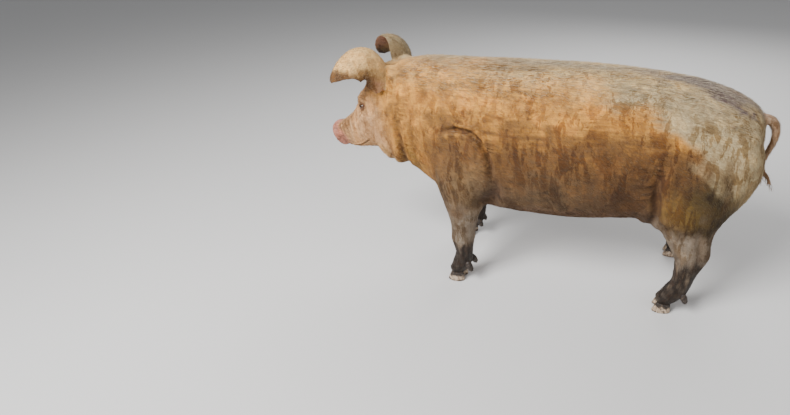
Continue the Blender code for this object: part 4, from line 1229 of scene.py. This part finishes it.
# Eyes
iris = {
    "edge": 45.0,  # degrees from the middle of the look
    "bulge": 0.0006,
    "stops": (  # place from the middle to 90 degrees, colour
        (0.0, (0.004, 0.003, 0.003)),
        (0.17, (0.005, 0.004, 0.003)),
        (0.20, (0.070, 0.032, 0.012)),
        (0.40, (0.120, 0.058, 0.022)),
        (0.49, (0.020, 0.011, 0.007)),
        (0.55, (0.22, 0.15, 0.12)),
        (0.75, (0.30, 0.16, 0.13)),
    ),
}


def eyeMaterial():
    material, tree, shader = newMaterial("wetEye")
    values = {"Fac": mathIn(tree, "DIVIDE", carried(tree, "ring", "Fac"), 90.0)}
    ramp = nodeIn(tree, "ShaderNodeValToRGB", values)
    stops = ramp.color_ramp.elements
    while len(stops) < len(iris["stops"]):
        stops.new(0.5)
    for stop, (place, colour) in zip(stops, iris["stops"]):
        stop.position = place
        stop.color = (*colour, 1.0)
    place = nodeIn(tree, "ShaderNodeTexCoord").outputs["Object"]
    threads = rangeIn(tree, noiseIn(tree, place, (1.0, 1.0, 1.0), 900.0), 0.35, 0.65, 0.0, 0.5)
    colour = mixIn(tree, threads, ramp.outputs[0], (0.55, 0.50, 0.46), "MULTIPLY")
    fill(tree, shader, {"Base Color": colour, "Roughness": 0.25, "Specular IOR Level": 0.25,
                        "Coat Weight": 0.55, "Coat Roughness": 0.05})
    return material


def makeEye(name, material):
    centre, look, nose, _ = eyeFrame(name)
    shape = bmesh.new()
    bmesh.ops.create_uvsphere(shape, u_segments=40, v_segments=28, radius=eye["radius"] - 0.0001)
    ring = []
    for vert in shape.verts:
        ring.append(math.degrees(Vector((0, 0, 1)).angle(vert.co)))
        bulge = math.cos(math.radians(min(ring[-1] / iris["edge"], 1.0) * 90.0))
        vert.co *= 1.0 + iris["bulge"] / eye["radius"] * bulge
    facing = Matrix((nose, look.cross(nose), look)).transposed().to_4x4()
    bmesh.ops.transform(shape, matrix=Matrix.Translation(centre) @ facing, verts=shape.verts)
    bmesh.ops.recalc_face_normals(shape, faces=shape.faces)
    ball = newObject("eyeball_" + name, toMesh(shape, "eyeball_" + name))
    attribute = ball.data.attributes.new("ring", "FLOAT", "POINT")
    attribute.data.foreach_set("value", np.array(ring, dtype=np.float32))
    ball.data.shade_smooth()
    ball.data.materials.append(material)
    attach(ball, "root")
    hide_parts("eye_" + name)


# Hooves and dewclaws
horn = {
    "bevel": 0.0022,
    "sharp": math.radians(38.0),
    "rings": 0.0062,  # from one growth ring to the next
    "ringDepth": 0.00035,
    "sole": 0.004,  # the rings start above it
    "grain": (240.0, 240.0, 16.0),
    "pale": (206, 184, 158),
    "brown": (150, 126, 104),
    "mud": (38, 29, 23),
    "worn": (70, 56, 45),
    "dried": (104, 86, 68),
}
pieceKinds = {"claw": ("hoof_", "hoof_horn"), "dewclaw": ("spur_", "dewclaw_horn")}


def hornMaterial():
    material, tree, shader = newMaterial("wornHorn")
    place = nodeIn(tree, "ShaderNodeTexCoord").outputs["Object"]
    level = nodeIn(tree, "ShaderNodeSeparateXYZ", {0: place}).outputs[2]
    grain = noiseIn(tree, place, horn["grain"], 1.0, 5.0)
    blotch = noiseIn(tree, place, (1.0, 1.0, 1.0), 60.0, 6.0, 0.65)
    crust = noiseIn(tree, place, (1.0, 1.0, 1.0), 150.0, 6.0, 0.7)
    brown, pale, mud, worn, dried = (linear(*horn[key]) for key in ("brown", "pale", "mud", "worn", "dried"))
    colour = mixIn(tree, rangeIn(tree, grain, 0.36, 0.64), brown, pale)
    reach = mathIn(tree, "ADD", level, mathIn(tree, "MULTIPLY", blotch, 0.07))
    colour = mixIn(tree, rangeIn(tree, reach, 0.054, 0.066), colour, mud)
    colour = mixIn(tree, rangeIn(tree, reach, 0.046, 0.036), colour, worn)
    colour = mixIn(tree, rangeIn(tree, crust, 0.50, 0.62, 0.0, 0.6), colour, dried)
    height = mathIn(tree, "ADD", mathIn(tree, "MULTIPLY", grain, 0.6), mathIn(tree, "MULTIPLY", crust, 1.4))
    bump = nodeIn(tree, "ShaderNodeBump", {"Strength": 0.7, "Distance": 0.0012, "Height": height})
    rough = rangeIn(tree, blotch, 0.35, 0.65, 0.42, 0.75)
    fill(tree, shader, {"Base Color": colour, "Roughness": rough, "Normal": bump.outputs[0]})
    return material


def makeHorn(node, material):
    # the solid with rounded edges and the horn's growth rings
    kind, corner = node.split("_", 1)
    name, slot = pieceKinds[kind]
    shape = cadShape([node])
    if kind == "dewclaw":
        bmesh.ops.subdivide_edges(shape, edges=shape.edges, cuts=1, smooth=1.0, use_grid_fill=True)
    sharp = [edge for edge in shape.edges if edge.calc_face_angle(0.0) > horn["sharp"]]
    bmesh.ops.bevel(shape, geom=sharp, offset=horn["bevel"], offset_type="OFFSET", segments=3, profile=0.5,
                    affect="EDGES", material=-1)
    bmesh.ops.triangulate(shape, faces=shape.faces)
    bmesh.ops.subdivide_edges(shape, edges=shape.edges, cuts=2, use_grid_fill=True)
    shape.normal_update()
    ringed = min(vert.co.z for vert in shape.verts) + horn["sole"]
    for vert in shape.verts:
        if vert.co.z > ringed and kind == "claw":
            wave = math.sin(2.0 * math.pi * vert.co.z / horn["rings"])
            vert.co += Vector((vert.normal.x, vert.normal.y, 0.0)) * (horn["ringDepth"] * (wave - 1.0))
    bmesh.ops.recalc_face_normals(shape, faces=shape.faces)
    piece = newObject(name + corner, toMesh(shape, name + corner))
    piece.data.shade_smooth()
    piece.data.set_sharp_from_angle(angle=math.radians(40.0))
    piece.data.materials.append(material)
    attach(piece, "root")
    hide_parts(node)


# Everything together
makeCamera()
makeStage()
skin, share = makeSkin()
points, normals = meshPoints(skin.data), meshNormals(skin.data)
colours = hideColours(points, normals, share)
damp = dampness(points, share)
fall = fallOf(lieOfCoat(points, normals, share))
carryValues(skin.data, colours, damp=damp, fall=fall)
layout = unwrapSkin(skin)
marking = markGroup()
skin.data.materials.append(hideMaterial(marking))
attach(skin, "root")
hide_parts(*fleshNodes)
makeCoat(skin, share, colours, damp, fall, layout, bristleMaterial(marking))
wetEye = eyeMaterial()
for name in sides:
    makeEye(name, wetEye)
wornHorn = hornMaterial()
for node in hornNodes:
    makeHorn(node, wornHorn)
print("eyes and hooves made")
